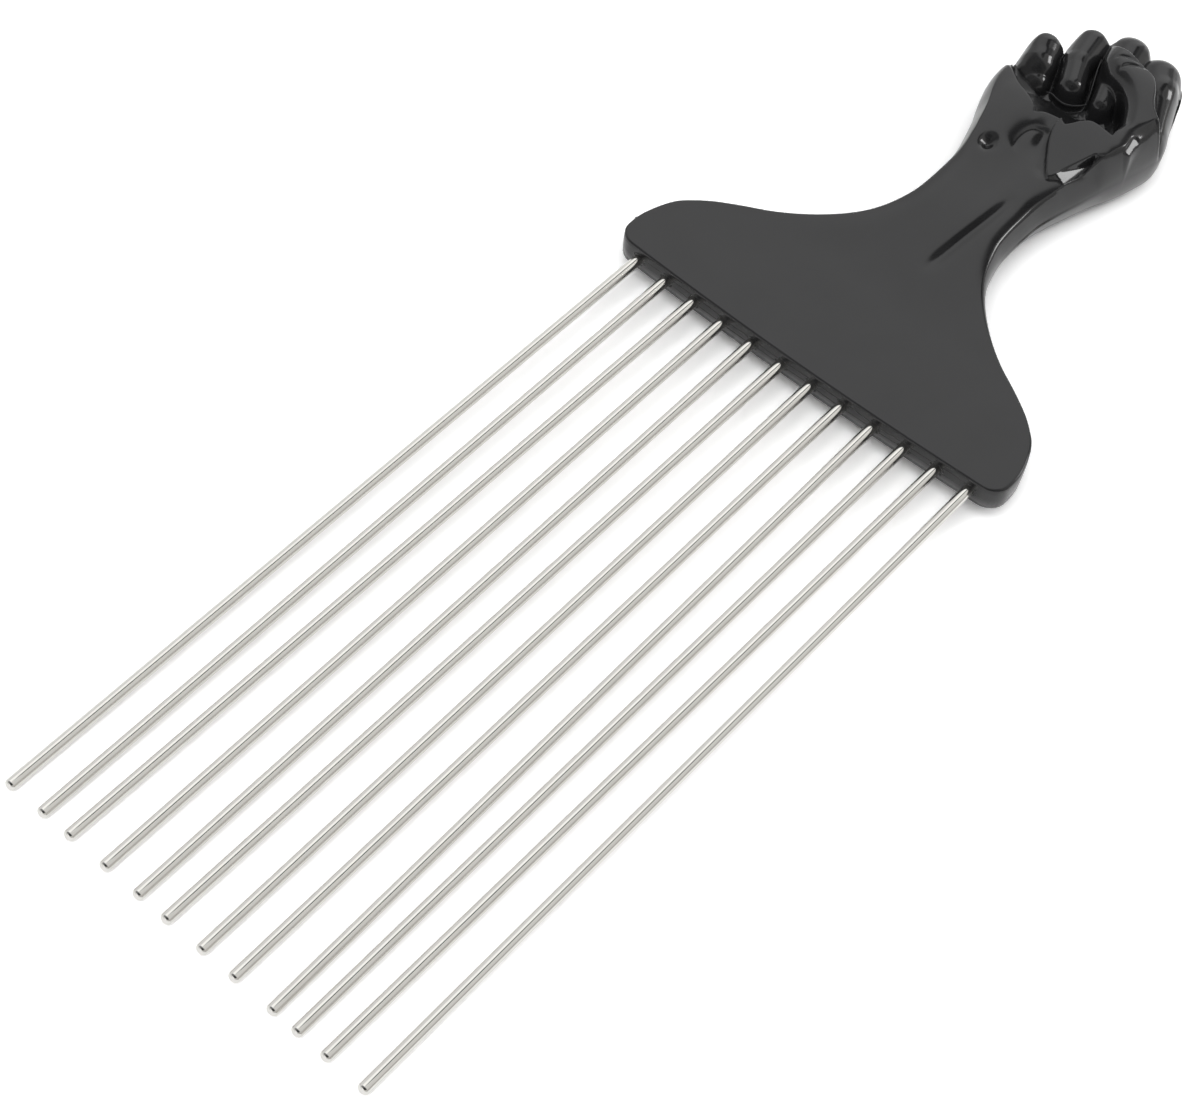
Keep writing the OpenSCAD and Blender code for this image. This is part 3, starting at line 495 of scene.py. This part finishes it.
    def ball_round(self, x, y):
        """Height of the ball of the thumb and of the thumb on it, with its round flank."""
        h, v = self.palm_h, self.on_fist(y)
        r, steepest = h * curve(FLANK_ROUND, v), curve(FLANK_SLOPE, v)
        past = np.maximum(side_of(x, y, self.path(BALL_FLANK)) + r * FLANK_START, 0)
        stop = r * np.sin(np.arctan(steepest))
        z = h * curve(BALL_LEVEL, v) - r + np.sqrt(r * r - np.minimum(past, stop) ** 2)
        return z - steepest * np.maximum(past - stop, 0)

    def flattened(self, z, x, y, share, level, mask):
        """The surface cut to a slanting plane that has its level at one point of the hand."""
        cx, cy = self.spot(share)
        return mix(z, level + FLAT_SLOPES[0] * (x - cx) + FLAT_SLOPES[1] * (y - cy), mask)

    def ball_z(self, x, y):
        """The ball with its flat facet."""
        h = self.palm_h
        inside = side_of(x, y, [self.spot(corner) for corner in FACET + FACET[:1]])
        mask = smooth_step(inside / (FACET_EDGE * h) + 1)
        return self.flattened(self.ball_round(x, y), x, y, FACET_MIDDLE, FACET_LEVEL * h, mask)

    def flat_place(self, z, x, y):
        """The palm side with the small flat place on the thumb's flank."""
        middle = [(a + b) / 2 for a, b in zip(*FLAT_PLACE)]
        cx, cy = self.spot(middle)
        level = z.flat[np.argmin(np.hypot(x - cx, y - cy))] - FLAT_SINK * self.palm_h
        _, q, _ = self.reach_of(x, y, FLAT_PLACE)
        return self.flattened(z, x, y, middle, level, smooth_step(2 - q))

    def palm_z(self, x, y):
        """Height of the palm side above the parting plane."""
        h, v = self.palm_h, self.on_fist(y)
        ground = self.plain_half(y)
        palm = ground + h * self.sheet(x, y)
        for furrow in PALM_FURROWS:
            palm = palm - self.furrow(x, y, furrow, h)
        palm = palm - self.dimple(x, y)
        crease = side_of(x, y, self.path(BALL_CREASE))
        ball = self.ball_z(x, y) - h * CREASE_STEP * (1 - roll(-crease, CREASE_ROLL * h))
        palm = smooth_max(palm, np.where(crease < 0, ball, -h), BALL_JOIN * h)
        # the hollow: a floor that falls away from the brink, and moats round the fingertips
        brink = side_of(x, y, self.path(BRINK))
        floor = np.maximum(h * FLOOR_LOW, h * FLOOR_TOP - FLOOR_SLOPE * np.abs(brink))
        floor = mix(h * MOAT, floor, roll(side_of(x, y, self.path(FLOOR_EDGE)), FLOOR_EDGE_ROUND * h))
        z = smooth_max(floor, self.joined(self.finger, x, y, FINGER_BARS, h), FINGER_JOIN * h)
        # the solid side of the brink, crisp at the palm and rounded at the thumb
        edge = h * mix(BRINK_ROUND, THUMB_ROUND, smooth_step((v - THUMB_STARTS) / THUMB_ROUNDS_OVER))
        outer = side_of(x, y, self.path(THUMB_OUTER))
        solid = palm - edge * (1 - roll(brink, edge))
        solid = solid - h * THUMB_STEP * (1 - roll(outer, THUMB_CRISP * h))
        inside = np.minimum(brink, outer)
        wall = np.clip(1 + inside / (WALL_LEAN * h), 0, 1)
        solid = np.where(inside < 0, mix(z, solid, wall), smooth_max(z, solid, THUMB_JOIN * h))
        z = np.where(v < HOLLOW_BEGINS, palm, solid)
        for fold in THUMB_FOLDS:
            z = z - self.furrow(x, y, fold, h)
        return np.where(v < NECK_ENDS, ground, np.maximum(LEAST * h, z))

    def back_z(self, x, y):
        """Depth of the back of the hand below the parting plane."""
        h, v = self.back_h, self.on_fist(y)
        ground = self.plain_half(y) + h * curve(BACK_RISE, v)
        z = smooth_max(ground, self.joined(self.swell, x, y, BACK_BARS, h), BACK_JOIN * h)
        return np.where(v < 0, ground, np.maximum(LEAST * h, z))

    def rimmed(self, z, y, d):
        """Height after the rim is drafted and rounded, d in from the outline."""
        h, v = self.palm_h, self.on_fist(y)
        hand = smooth_step(self.past_flat(y))
        rim = mix(BLADE_RIM, curve(RIM, v) * h, hand)
        wall = mix(1 - 2 * BLADE_RIM / self.blade_t, curve(WALL, v), hand)
        crown = CROWN_DEPTH * h * hand * fade(v, *CROWN_FADES)
        z = z - crown * np.clip(1 - d / (CROWN_WIDTH * h), 0, 1) ** 2
        straight = np.clip((d - DRAFT) / rim, 0, 1)
        rise = mix(roll(d - DRAFT, rim), straight, SLANT * hand * fade(v, *SLANT_FADES))
        return z * mix(wall, 1, rise) * np.clip(d / DRAFT, 0, 1)


def wire_pitch(size):
    return (size.blade_w - 2 * size.end_margin) / (len(WIRES) - 1)


def wire_x(size, i):
    return (i - (len(WIRES) - 1) / 2) * wire_pitch(size)


def wire_lean(size, i):
    """Sideways drift of a wire per length along +y."""
    return -LEAN[i] * wire_pitch(size) / size.tooth_reach


def rest_shift(size):
    """Shift from the modelling frame, zero where the wires leave the blade, to the row frame."""
    low, high = FIRST_WIRE
    return np.array([0, low.y + size.tooth_reach, (low.z + high.z) / 2])


def new_object(name, data):
    """An object with its mesh, lamp or camera, put into the scene."""
    made = bpy.data.objects.new(name, data)
    bpy.context.scene.collection.objects.link(made)
    return made


def new_piece(name, points, faces, material):
    """A mesh object from points in the row frame, riding on the object's only body."""
    mesh = bpy.data.meshes.new(name)
    mesh.from_pydata(np.asarray(points).tolist(), [], faces)
    mesh.validate()
    mesh.shade_smooth()
    mesh.materials.append(material)
    piece = new_object(name, mesh)
    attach(piece, "root")
    return piece


def circle(sides):
    """Even angles round a circle."""
    return [2 * pi * j / sides for j in range(sides)]


def ring_faces(rings, sides, closed=False, capped=False):
    """Quads between rings of points that follow each other."""
    faces = []
    for i in range(rings if closed else rings - 1):
        a, b = i * sides, (i + 1) % rings * sides
        faces += [(a + j, a + (j + 1) % sides, b + (j + 1) % sides, b + j) for j in range(sides)]
    if capped:
        faces += [tuple(reversed(range(sides))), tuple(range((rings - 1) * sides, rings * sides))]
    return faces


def outward(points, faces):
    """The points and faces of a closed shell, with its faces turned outwards."""
    p = [Vector(q) for q in points]
    volume = sum(p[f[0]].dot(p[f[k]].cross(p[f[k + 1]])) for f in faces for k in range(1, len(f) - 1))
    return points, faces if volume > 0 else [tuple(reversed(f)) for f in faces]


def outline(x, y):
    """Closed line round the plan of the mesh."""
    edges = (0, ...), (slice(1, -1), -1), (-1, slice(None, None, -1)), (slice(-2, 0, -1), 0), (0, slice(1))
    return np.concatenate([np.c_[x[k], y[k]] for k in edges])


def depth_inside(x, y, loop, step=0.02 * MM):
    """Distance of points from the outline, measured to points set a fine step apart on it."""
    run = np.r_[0, np.cumsum(np.hypot(*np.diff(loop, axis=0).T))]
    fine = np.linspace(0, run[-1], int(run[-1] / step))
    tree = kdtree.KDTree(len(fine))
    for i, (px, py) in enumerate(zip(*(np.interp(fine, run, loop[:, k]) for k in (0, 1)))):
        tree.insert((px, py, 0), i)
    tree.balance()
    found = [tree.find((px, py, 0))[2] for px, py in zip(x.ravel(), y.ravel())]
    return np.array(found).reshape(x.shape)


def point_numbers(rows, cols, side):
    """Numbers of the points on the palm side (0) or the back (1), which share those of the outline."""
    edge, inner = 2 * (rows + cols) - 4, (rows - 2) * (cols - 2)
    k = np.zeros((rows, cols), int)
    k[0] = np.arange(cols)
    k[1:-1, -1] = cols + np.arange(rows - 2)
    k[-1] = cols + rows - 2 + np.arange(cols)[::-1]
    k[1:-1, 0] = edge - 1 - np.arange(rows - 2)
    k[1:-1, 1:-1] = edge + side * inner + np.arange(inner).reshape(rows - 2, cols - 2)
    return k


def back_faces(k):
    """Faces of the plainer back, over every second line but with all points of the outline."""
    faces, (rows, cols) = [], k.shape
    for i in range(0, rows - 1, 2):
        for j in range(0, cols - 1, 2):
            left, right = [k[i + 1, j]] * (j == 0), [k[i + 1, j + 2]] * (j + 3 == cols)
            front, far = [k[i, j + 1]] * (i == 0), [k[i + 2, j + 1]] * (i + 3 == rows)
            faces.append([k[i, j], *left, k[i + 2, j], *far, k[i + 2, j + 2], *right, k[i, j + 2], *front])
    return faces


def sink_marks(plan, x, y, d, wave):
    """Shallow waves where the blade shrank as it cooled, fading out towards the rim and the fist."""
    rim, fading, ends = 2 * MM, 6 * MM, (0.8 * plan.shoulder, 1.1 * plan.shoulder)
    inside = smooth_step((d - rim) / fading) * fade(y, *ends)
    swell = (np.sin(x * 310 + 0.8) * np.sin(y * 380 + 0.3) + 0.6 * np.sin(x * 173 - y * 211 + 1.9)
             + 0.35 * np.sin(x * 560 + y * 490 + 0.4))
    return wave * inside * swell


def moulding(plan, wave):
    """Points, faces and outline of the moulded body, palm side and back meeting on the parting plane."""
    x, y = plan.grid()
    (rows, cols), loop = x.shape, outline(x, y)
    x, y = x[1:-1, 1:-1], y[1:-1, 1:-1]
    d = depth_inside(x, y, loop)
    up = plan.flat_place(plan.rimmed(plan.palm_z(x, y), y, d), x, y) - sink_marks(plan, x, y, d, wave)
    down = -plan.rimmed(plan.back_z(x, y), y, d)
    sides = [np.c_[x.ravel(), y.ravel(), z.ravel()] for z in (up, down)]
    points = np.concatenate([np.c_[loop[:-1], np.zeros(len(loop) - 1)], *sides])
    k = point_numbers(rows, cols, 0)
    faces = np.stack([k[:-1, :-1], k[:-1, 1:], k[1:, 1:], k[1:, :-1]], -1).reshape(-1, 4).tolist()
    faces += back_faces(point_numbers(rows, cols, 1))
    used = np.zeros(len(points), bool)
    used[np.concatenate(faces)] = True
    number = np.cumsum(used) - 1
    return points[used], [[int(number[k]) for k in f] for f in faces], loop


def collar(x, y, lean, wire_r, number):
    """Rolled lip of plastic round the root of one wire, with its uneven flash."""
    sides, steps, points = 40, 9, []
    middle, half = wire_r + 0.275 * MM, 0.225 * MM
    proud, set_back, rooted = 0.3 * MM, 0.25 * MM, 1.2 * MM
    for i in range(steps):
        a = pi * i / (steps - 1)
        radius = middle - half * cos(a)
        for t in circle(sides):
            rough = 1 + ripple(LIP_WAVES, t, number)
            rise = rooted if i in (0, steps - 1) else set_back - proud * rough * sin(a)
            points.append((x + lean * (y + rise) + radius * cos(t), y + rise, radius * sin(t)))
    return outward(points, ring_faces(steps, sides, closed=True))


def gate_stub(plan):
    """Broken stub of the gate on the left edge of the blade, as a small rough block."""
    stands_out, reaches_in, place, skew = 1.15 * MM, 0.8 * MM, 7.1 * MM, 0.12 * MM
    span, depth, tip, body = 0.9 * MM, 0.8 * MM, 0.2, 0.42
    across, along, points = 10, 6, []
    for i in range(along):
        s = i / (along - 1)
        x = mix(-plan.half_blade - stands_out, -plan.half_blade + reaches_in, s)
        swell = body + 0.1 * sin(5 * s + 1) if i else tip
        for t in circle(across):
            r = swell * (1 + 0.18 * sin(2 * t + 4 * s) + 0.12 * sin(3 * t + 2))
            y = place + skew * (1 - s) + span * r * cos(t)
            points.append((x, y, depth * r * sin(t)))
    return outward(points, ring_faces(along, across, capped=True))


def parting_line(loop, proud):
    """Fine line of flash left by the mould where its halves met, as a thin ring round the outline."""
    closed = loop[:-1]
    step = np.roll(closed, -1, 0) - np.roll(closed, 1, 0)
    step /= np.maximum(np.hypot(*step.T), 1e-12)[:, None]
    sides, half_height, points = 6, 1.2 * proud, []
    for (px, py), (dx, dy) in zip(closed, step):
        for a in circle(sides):
            reach = proud * (cos(a) - 1)
            points.append((px + dy * reach, py - dx * reach, half_height * sin(a)))
    return outward(points, ring_faces(len(closed), sides, closed=True))


def bead(line, radius, steps=60, sides=8, blunt=0.02, taper=0.4):
    """Thin round bead along a smooth line, with pointed ends."""
    line, points = np.array(line), []
    run = np.r_[0, np.cumsum(np.linalg.norm(np.diff(line, axis=0), axis=1))]
    path = np.stack([curve(np.c_[run, line[:, k]], np.linspace(0, run[-1], steps)) for k in range(3)], 1)
    for i, (p, way) in enumerate(zip(path, np.gradient(path, axis=0))):
        across = Vector((way[1], -way[0], 0)).normalized()
        up = across.cross(Vector(way)).normalized()
        up = -up if up.z < 0 else up
        r = radius * sin(pi * mix(blunt, 1 - blunt, i / (steps - 1))) ** taper
        points += [tuple(Vector(p) + r * (cos(a) * across + sin(a) * up)) for a in circle(sides)]
    return outward(points, ring_faces(steps, sides, capped=True))


def front_streaks(plan):
    """Two thin wavy lines of flash along the front wall of the blade."""
    x = np.linspace(-STREAK_REACH, STREAK_REACH, 90) * plan.half_blade
    y = plan.front_edge(x) + 1.2 * DRAFT
    waves = [(level + ripple(FRONT_WAVES, x, phase)) * MM for level, phase in FRONT_STREAKS]
    return [bead(np.c_[x, y, z], STREAK_RADIUS, 180) for z in waves]


def hand_beads(plan):
    """The web between ring and middle finger, and the rim of the floor in front of the ring finger."""
    def places(table):
        return [(*plan.spot(p), p[2] * plan.palm_h) for p in table]
    return [bead(places(WEB), WEB_R), bead(places(FLOOR_RIM), FLOOR_RIM_R)]


def wire_points(size, x, lean, depth):
    """Points and faces of one wire from its domed tip to its end in the blade."""
    r, tip, dome = size.wire_d / 2, -size.tooth_reach, size.tip_dome
    turns = [i / DOME_RINGS * pi / 2 for i in range(1, DOME_RINGS + 1)]
    rings = [(r * sin(a), tip + dome * (1 - cos(a))) for a in turns]
    rings += [(r, tip + dome + (depth - tip - dome) * i / WIRE_RINGS) for i in range(1, WIRE_RINGS + 1)]
    points = [(x + lean * tip, tip, 0)]
    for radius, y in rings:
        for a in circle(WIRE_SIDES):
            points.append((x + lean * y + radius * cos(a), y, radius * sin(a)))
    faces = [(0, 1 + j, 1 + (j + 1) % WIRE_SIDES) for j in range(WIRE_SIDES)]
    faces += [tuple(1 + k for k in reversed(f)) for f in ring_faces(len(rings), WIRE_SIDES)]
    last = 1 + (len(rings) - 1) * WIRE_SIDES
    faces.append(tuple(last + j for j in reversed(range(WIRE_SIDES))))
    return points, faces


def fill(node, values):
    """Sets the inputs of a node, or links those whose value is another node's output."""
    for name, value in values.items():
        if isinstance(value, bpy.types.NodeSocket):
            node.id_data.links.new(value, node.inputs[name])
        else:
            node.inputs[name].default_value = value


def add_node(tree, kind, output, values=None, **settings):
    """The named output of a new node."""
    node = tree.nodes.new(kind)
    for name, value in settings.items():
        setattr(node, name, value)
    fill(node, values or {})
    return node.outputs[output]


def noise(tree, place, scale, detail, roughness=0.5):
    values = {"Vector": place, "Scale": scale, "Detail": detail, "Roughness": roughness}
    return add_node(tree, "ShaderNodeTexNoise", "Fac", values)


def stretched(tree, place, scale):
    return add_node(tree, "ShaderNodeMapping", "Vector", {"Vector": place, "Scale": scale})


def ramp(tree, value, low, high, start, stop, shape="LINEAR"):
    """Goes from start to stop while a value goes from low to high."""
    values = {"Value": value, "From Min": low, "From Max": high, "To Min": start, "To Max": stop}
    return add_node(tree, "ShaderNodeMapRange", "Result", values, interpolation_type=shape)


def maths(tree, operation, a, b=0):
    return add_node(tree, "ShaderNodeMath", "Value", {0: a, 1: b}, operation=operation)


def blend(tree, share, first, second):
    """Mix of two colours, each given as three numbers or as another node's output."""
    first, second = (c if isinstance(c, bpy.types.NodeSocket) else (*c, 1) for c in (first, second))
    return add_node(tree, "ShaderNodeMixRGB", "Color", {"Fac": share, "Color1": first, "Color2": second})


def bump(tree, height, strength, distance):
    values = {"Height": height, "Strength": strength, "Distance": distance}
    return add_node(tree, "ShaderNodeBump", "Normal", values)


def shade(colour, share):
    return [share * c for c in colour]


def new_material(name):
    """A material with its node tree, its shader and the place on the object."""
    material = bpy.data.materials.new(name)
    material.use_nodes = True
    tree = material.node_tree
    return material, tree, tree.nodes["Principled BSDF"], add_node(tree, "ShaderNodeTexCoord", "Object")


def gloss_black_plastic(colour):
    """Black styrene from a polished mould, with faint orange peel, cloudiness and fine scuffs."""
    material, tree, shader, place = new_material("gloss_black_plastic")
    cloud = noise(tree, place, 90, 3, 0.55)
    peel = noise(tree, place, 1100, 2, 0.4)
    scuffs = noise(tree, stretched(tree, place, (4000, 300, 4000)), 1, 4, 0.7)
    skin, wear = ramp(tree, cloud, 0.3, 0.75, 0.13, 0.19), ramp(tree, scuffs, 0.55, 0.8, 0, 0.08)
    fill(shader, {
        "Base Color": blend(tree, cloud, shade(colour, 0.7), shade(colour, 1.35)),
        "Roughness": maths(tree, "ADD", skin, wear),
        "Normal": bump(tree, peel, 0.25, 0.004 * MM),
        "IOR": 1.52,
    })
    return material


def plated_wire(colour):
    """Nickel-plated steel wire: a bright mirror with the fine lines of the drawing die along it."""
    material, tree, shader, place = new_material("plated_wire")
    lines = noise(tree, stretched(tree, place, (5000, 25, 5000)), 1, 3, 0.6)
    spots = noise(tree, place, 420, 4, 0.65)
    fill(shader, {
        "Base Color": blend(tree, spots, shade(colour, 0.93), colour),
        "Roughness": ramp(tree, lines, 0.35, 0.7, 0.06, 0.13),
        "Normal": bump(tree, lines, 0.3, 0.0015 * MM),
        "Metallic": 1,
    })
    return material


def paper_floor(colour, lift=0.3):
    """Matt white paper sweep, which the camera alone sees whiter than it is."""
    material, tree, shader, place = new_material("paper_floor")
    tint = blend(tree, noise(tree, place, 900, 3), shade(colour, 0.99), colour)
    fill(shader, {"Base Color": tint, "Roughness": 0.9, "Specular IOR Level": 0.1})
    white, more = (
        add_node(tree, "ShaderNodeBsdfDiffuse", "BSDF", {"Color": (k, k, k, 1)}) for k in (1, lift))
    both = add_node(tree, "ShaderNodeAddShader", "Shader", {0: white, 1: more})
    seen = add_node(tree, "ShaderNodeLightPath", "Is Camera Ray")
    values = {"Fac": seen, 1: shader.outputs["BSDF"], 2: both}
    pick = add_node(tree, "ShaderNodeMixShader", "Shader", values)
    fill(tree.nodes["Material Output"], {"Surface": pick})
    return material


def studio_world():
    """White room that mirrors see as bright panels with dark places between them, matt surfaces as an
    even light from above, and the camera as plain white."""
    world = bpy.data.worlds.new("studio")
    world.use_nodes = True
    tree = world.node_tree
    way = add_node(tree, "ShaderNodeTexCoord", "Generated")
    x, y, z = (add_node(tree, "ShaderNodeSeparateXYZ", k, {"Vector": way}) for k in "XYZ")

    def step(value, low, high, start=0, stop=1):
        return ramp(tree, value, low, high, start, stop, "SMOOTHSTEP")

    def times(first, *others):
        for other in others:
            first = maths(tree, "MULTIPLY", first, other)
        return first

    def towards(direction):
        values = {0: way, 1: Vector(direction).normalized()}
        return add_node(tree, "ShaderNodeVectorMath", "Value", values, operation="DOT_PRODUCT")

    # panels: dimmer on the right, and more so low down and over the left
    tilt = maths(tree, "ARCTAN2", x, z)
    low_right = times(step(x, 0.5, 0.8, 0, 0.25), step(z, 0.2, 0.6, 1, 0))
    right = maths(tree, "SUBTRACT", step(x, 0.1, 0.35, 1.12, 0.72), low_right)
    level = times(right, step(tilt, -0.95, -0.55, 0.68, 1))
    # narrow gap between them, which runs along the wires
    off_gap = maths(tree, "ABSOLUTE", maths(tree, "SUBTRACT", tilt, 0.075))
    gap = times(
        step(off_gap, 0.11, 0.15, 1, 0), step(y, 0.15, 0.3), step(y, 0.75, 0.9, 1, 0), step(z, 0, 0.1))
    # dark front of the room, and the camera's stand in it
    camera = towards(CAMERA_WAY)
    front = times(step(camera, 0.17, 0.55, 0, 0.85), step(y, 0.05, 0.2, 1, 0), step(z, 0.4, 0.6))
    stand = maths(tree, "MAXIMUM", front, step(camera, 0.84, 0.92))
    # far end of the right-hand panel
    far = times(step(y, 0.6, 0.68, 0, 0.6), step(tilt, -0.14, 0.1), step(tilt, 0.5, 0.7, 1, 0))
    dark = maths(tree, "MAXIMUM", maths(tree, "MAXIMUM", gap, stand), far)
    level = times(level, maths(tree, "SUBTRACT", 1, times(dark, 0.97)))
    tone = blend(tree, step(x, 0.1, 0.5), (1, 1, 1), (1, 0.985, 0.96))
    panels = add_node(tree, "ShaderNodeVectorMath", "Vector", {0: tone, "Scale": level}, operation="SCALE")
    above = step(towards(CEILING_WAY), 0.85, 1, 0.5, 4.3)
    ceiling = add_node(tree, "ShaderNodeCombineXYZ", "Vector", {0: above, 1: above, 2: above})
    mirrored, seen = (add_node(tree, "ShaderNodeLightPath", f"Is {k} Ray") for k in ("Glossy", "Camera"))
    colour = blend(tree, seen, blend(tree, mirrored, ceiling, panels), (1, 1, 1))
    fill(tree.nodes["Background"], {"Color": colour})
    bpy.context.scene.world = world


def key_lamp(shift):
    """Square lamp that shines on the fist."""
    lamp = bpy.data.lights.new("key", "AREA")
    lamp.shape, lamp.size = "SQUARE", LAMP_WIDTH
    lamp.energy = LAMP_RADIANCE * pi * LAMP_WIDTH * LAMP_WIDTH
    holder, aim = new_object("key", lamp), Vector(LAMP_AIM) + Vector(shift)
    holder.location = aim + Vector(LAMP_OFFSET)
    holder.rotation_euler = (aim - holder.location).to_track_quat("-Z", "Y").to_euler()


def photo_camera(shift):
    """Camera that stands where the photograph was taken from."""
    camera = bpy.data.cameras.new("camera")
    camera.sensor_width, camera.lens = CAMERA_FILM, CAMERA_LENS
    camera.clip_start, camera.clip_end = 0.01, 20
    holder = new_object("camera", camera)
    holder.location = Vector(CAMERA_PLACE) + Vector(shift)
    holder.rotation_euler = [radians(a) for a in CAMERA_TURN]
    bpy.context.scene.camera = holder


def length(name, description, metres):
    return FloatProperty(name=name, description=description, default=metres, unit="LENGTH")


def colour(name, description, rgb):
    return FloatVectorProperty(name=name, description=description, default=rgb, subtype="COLOR", size=3)


class PickSizes(bpy.types.PropertyGroup):
    """Sizes that drive the pick."""
    wire_d: length("Wire", "Diameter of a wire", FIRST_WIRE[1].z - FIRST_WIRE[0].z)
    tooth_reach: length("Wire length", "From the blade to the tips", 143 * MM)
    tip_dome: length("Tip dome", "Height of the domed tips", 0.7 * MM)
    blade_w: length("Blade width", "Width of the blade", 81.29 * MM)
    blade_t: length("Blade thickness", "Thickness of the blade", 5 * MM)
    end_margin: length("End margin", "From the outer wires to the blade's ends", 5.445 * MM)
    front_bow: length("Front bow", "How far the front edge bows out", 1.1 * MM)
    corner_r: length("Corners", "Radius of the front corners", 3.4 * MM)
    shoulder_len: length("Shoulder", "From the blade's front to the neck", 48 * MM)
    neck_w: length("Neck width", "Width of the neck", 20.2 * MM)
    neck_t: length("Neck thickness", "Thickness of the neck", 9.2 * MM)
    fist_len: length("Fist length", "From the neck to the highest knuckle", 54 * MM)
    fist_w: length("Fist width", "Width of the fist", 33 * MM)
    palm_h: length("Palm height", "Palm side above the parting plane", 9.6 * MM)
    back_h: length("Back depth", "Back of the hand below the parting plane", 8.52 * MM)
    sink_wave: length("Sink marks", "Depth of the waves in the blade", 0.012 * MM)
    flash: length("Flash", "Height of the flash on the parting line", 0.06 * MM)


class PickColours(bpy.types.PropertyGroup):
    """Colours of the pick and its stage."""
    plastic: colour("Plastic", "Colour of the handle", (0.012, 0.012, 0.0125))
    wire: colour("Wire", "Colour of the plating", (0.84, 0.825, 0.79))
    floor: colour("Floor", "Colour of the floor", (0.95, 0.95, 0.95))


class PICK_OT_handle(bpy.types.Operator):
    """Add the moulded handle, with the lips round its wires, the gate stub and the parting line"""
    bl_idname = "pick.handle"
    bl_label = "Handle"

    def execute(self, context):
        size = context.scene.pick_sizes
        plan = Plan(size)
        points, faces, loop = moulding(plan, size.sink_wave)
        points = points.tolist()
        details = [gate_stub(plan), parting_line(loop, size.flash), *hand_beads(plan), *front_streaks(plan)]
        for i in range(len(WIRES)):
            x = wire_x(size, i)
            details.append(collar(x, float(plan.front_edge(x)), wire_lean(size, i), size.wire_d / 2, i + 1))
        for more_points, more_faces in details:
            first = len(points)
            points += more_points
            faces += [tuple(first + k for k in f) for f in more_faces]
        material = gloss_black_plastic(context.scene.pick_colours.plastic)
        piece = new_piece("fist_handle", np.array(points, float) + rest_shift(size), faces, material)
        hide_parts("handle")
        return {"FINISHED"}


class PICK_OT_wires(bpy.types.Operator):
    """Add the twelve plated wires with their domed tips"""
    bl_idname = "pick.wires"
    bl_label = "Wires"

    def execute(self, context):
        size = context.scene.pick_sizes
        material = plated_wire(context.scene.pick_colours.wire)
        depth = FIRST_WIRE[1].y - FIRST_WIRE[0].y - size.tooth_reach
        for i, name in enumerate(WIRES):
            points, faces = wire_points(size, wire_x(size, i), wire_lean(size, i), depth)
            points = np.array(points) + rest_shift(size)
            piece = new_piece(name.replace("tooth", "wire"), points, faces, material)
            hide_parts(name)
        return {"FINISHED"}


class PICK_OT_stage(bpy.types.Operator):
    """Add the floor, the studio light and the camera"""
    bl_idname = "pick.stage"
    bl_label = "Studio"

    def execute(self, context):
        # the pick lies on its wire tips and on the back of the fist
        body = np.array([v.co for v in bpy.data.objects["fist_handle"].data.vertices])
        tip = FIRST_WIRE[0]
        slope = float(np.min((body[:, 2] - tip.z) / (body[:, 1] - tip.y)))
        corners = [(x, y, tip.z + slope * (y - tip.y)) for x, y in FLOOR_CORNERS]
        mesh = bpy.data.meshes.new("floor")
        mesh.from_pydata(corners, [], [(0, 1, 2, 3)])
        mesh.materials.append(paper_floor(context.scene.pick_colours.floor))
        new_object("floor", mesh)
        studio_world()
        shift = rest_shift(context.scene.pick_sizes)
        key_lamp(shift)
        photo_camera(shift)
        context.scene.view_settings.view_transform = "Standard"
        return {"FINISHED"}


class PICK_PT_panel(bpy.types.Panel):
    """Lists the steps that build the pick"""
    bl_idname = "PICK_PT_panel"
    bl_label = "Hair pick"
    bl_space_type = "VIEW_3D"
    bl_region_type = "UI"
    bl_category = "Hair pick"

    def draw(self, context):
        for step in STEPS:
            self.layout.operator(step.bl_idname)
        for group in (context.scene.pick_sizes, context.scene.pick_colours):
            box = self.layout.box()
            for name in group.__annotations__:
                box.prop(group, name)


STEPS = (PICK_OT_handle, PICK_OT_wires, PICK_OT_stage)
CLASSES = (PickSizes, PickColours, *STEPS, PICK_PT_panel)


def register():
    for cls in CLASSES:
        bpy.utils.register_class(cls)
    bpy.types.Scene.pick_sizes = PointerProperty(type=PickSizes)
    bpy.types.Scene.pick_colours = PointerProperty(type=PickColours)


def unregister():
    del bpy.types.Scene.pick_colours
    del bpy.types.Scene.pick_sizes
    for cls in reversed(CLASSES):
        bpy.utils.unregister_class(cls)


def main():
    register()
    bpy.ops.pick.handle()
    bpy.ops.pick.wires()
    bpy.ops.pick.stage()


if __name__ == "__main__":
    main()
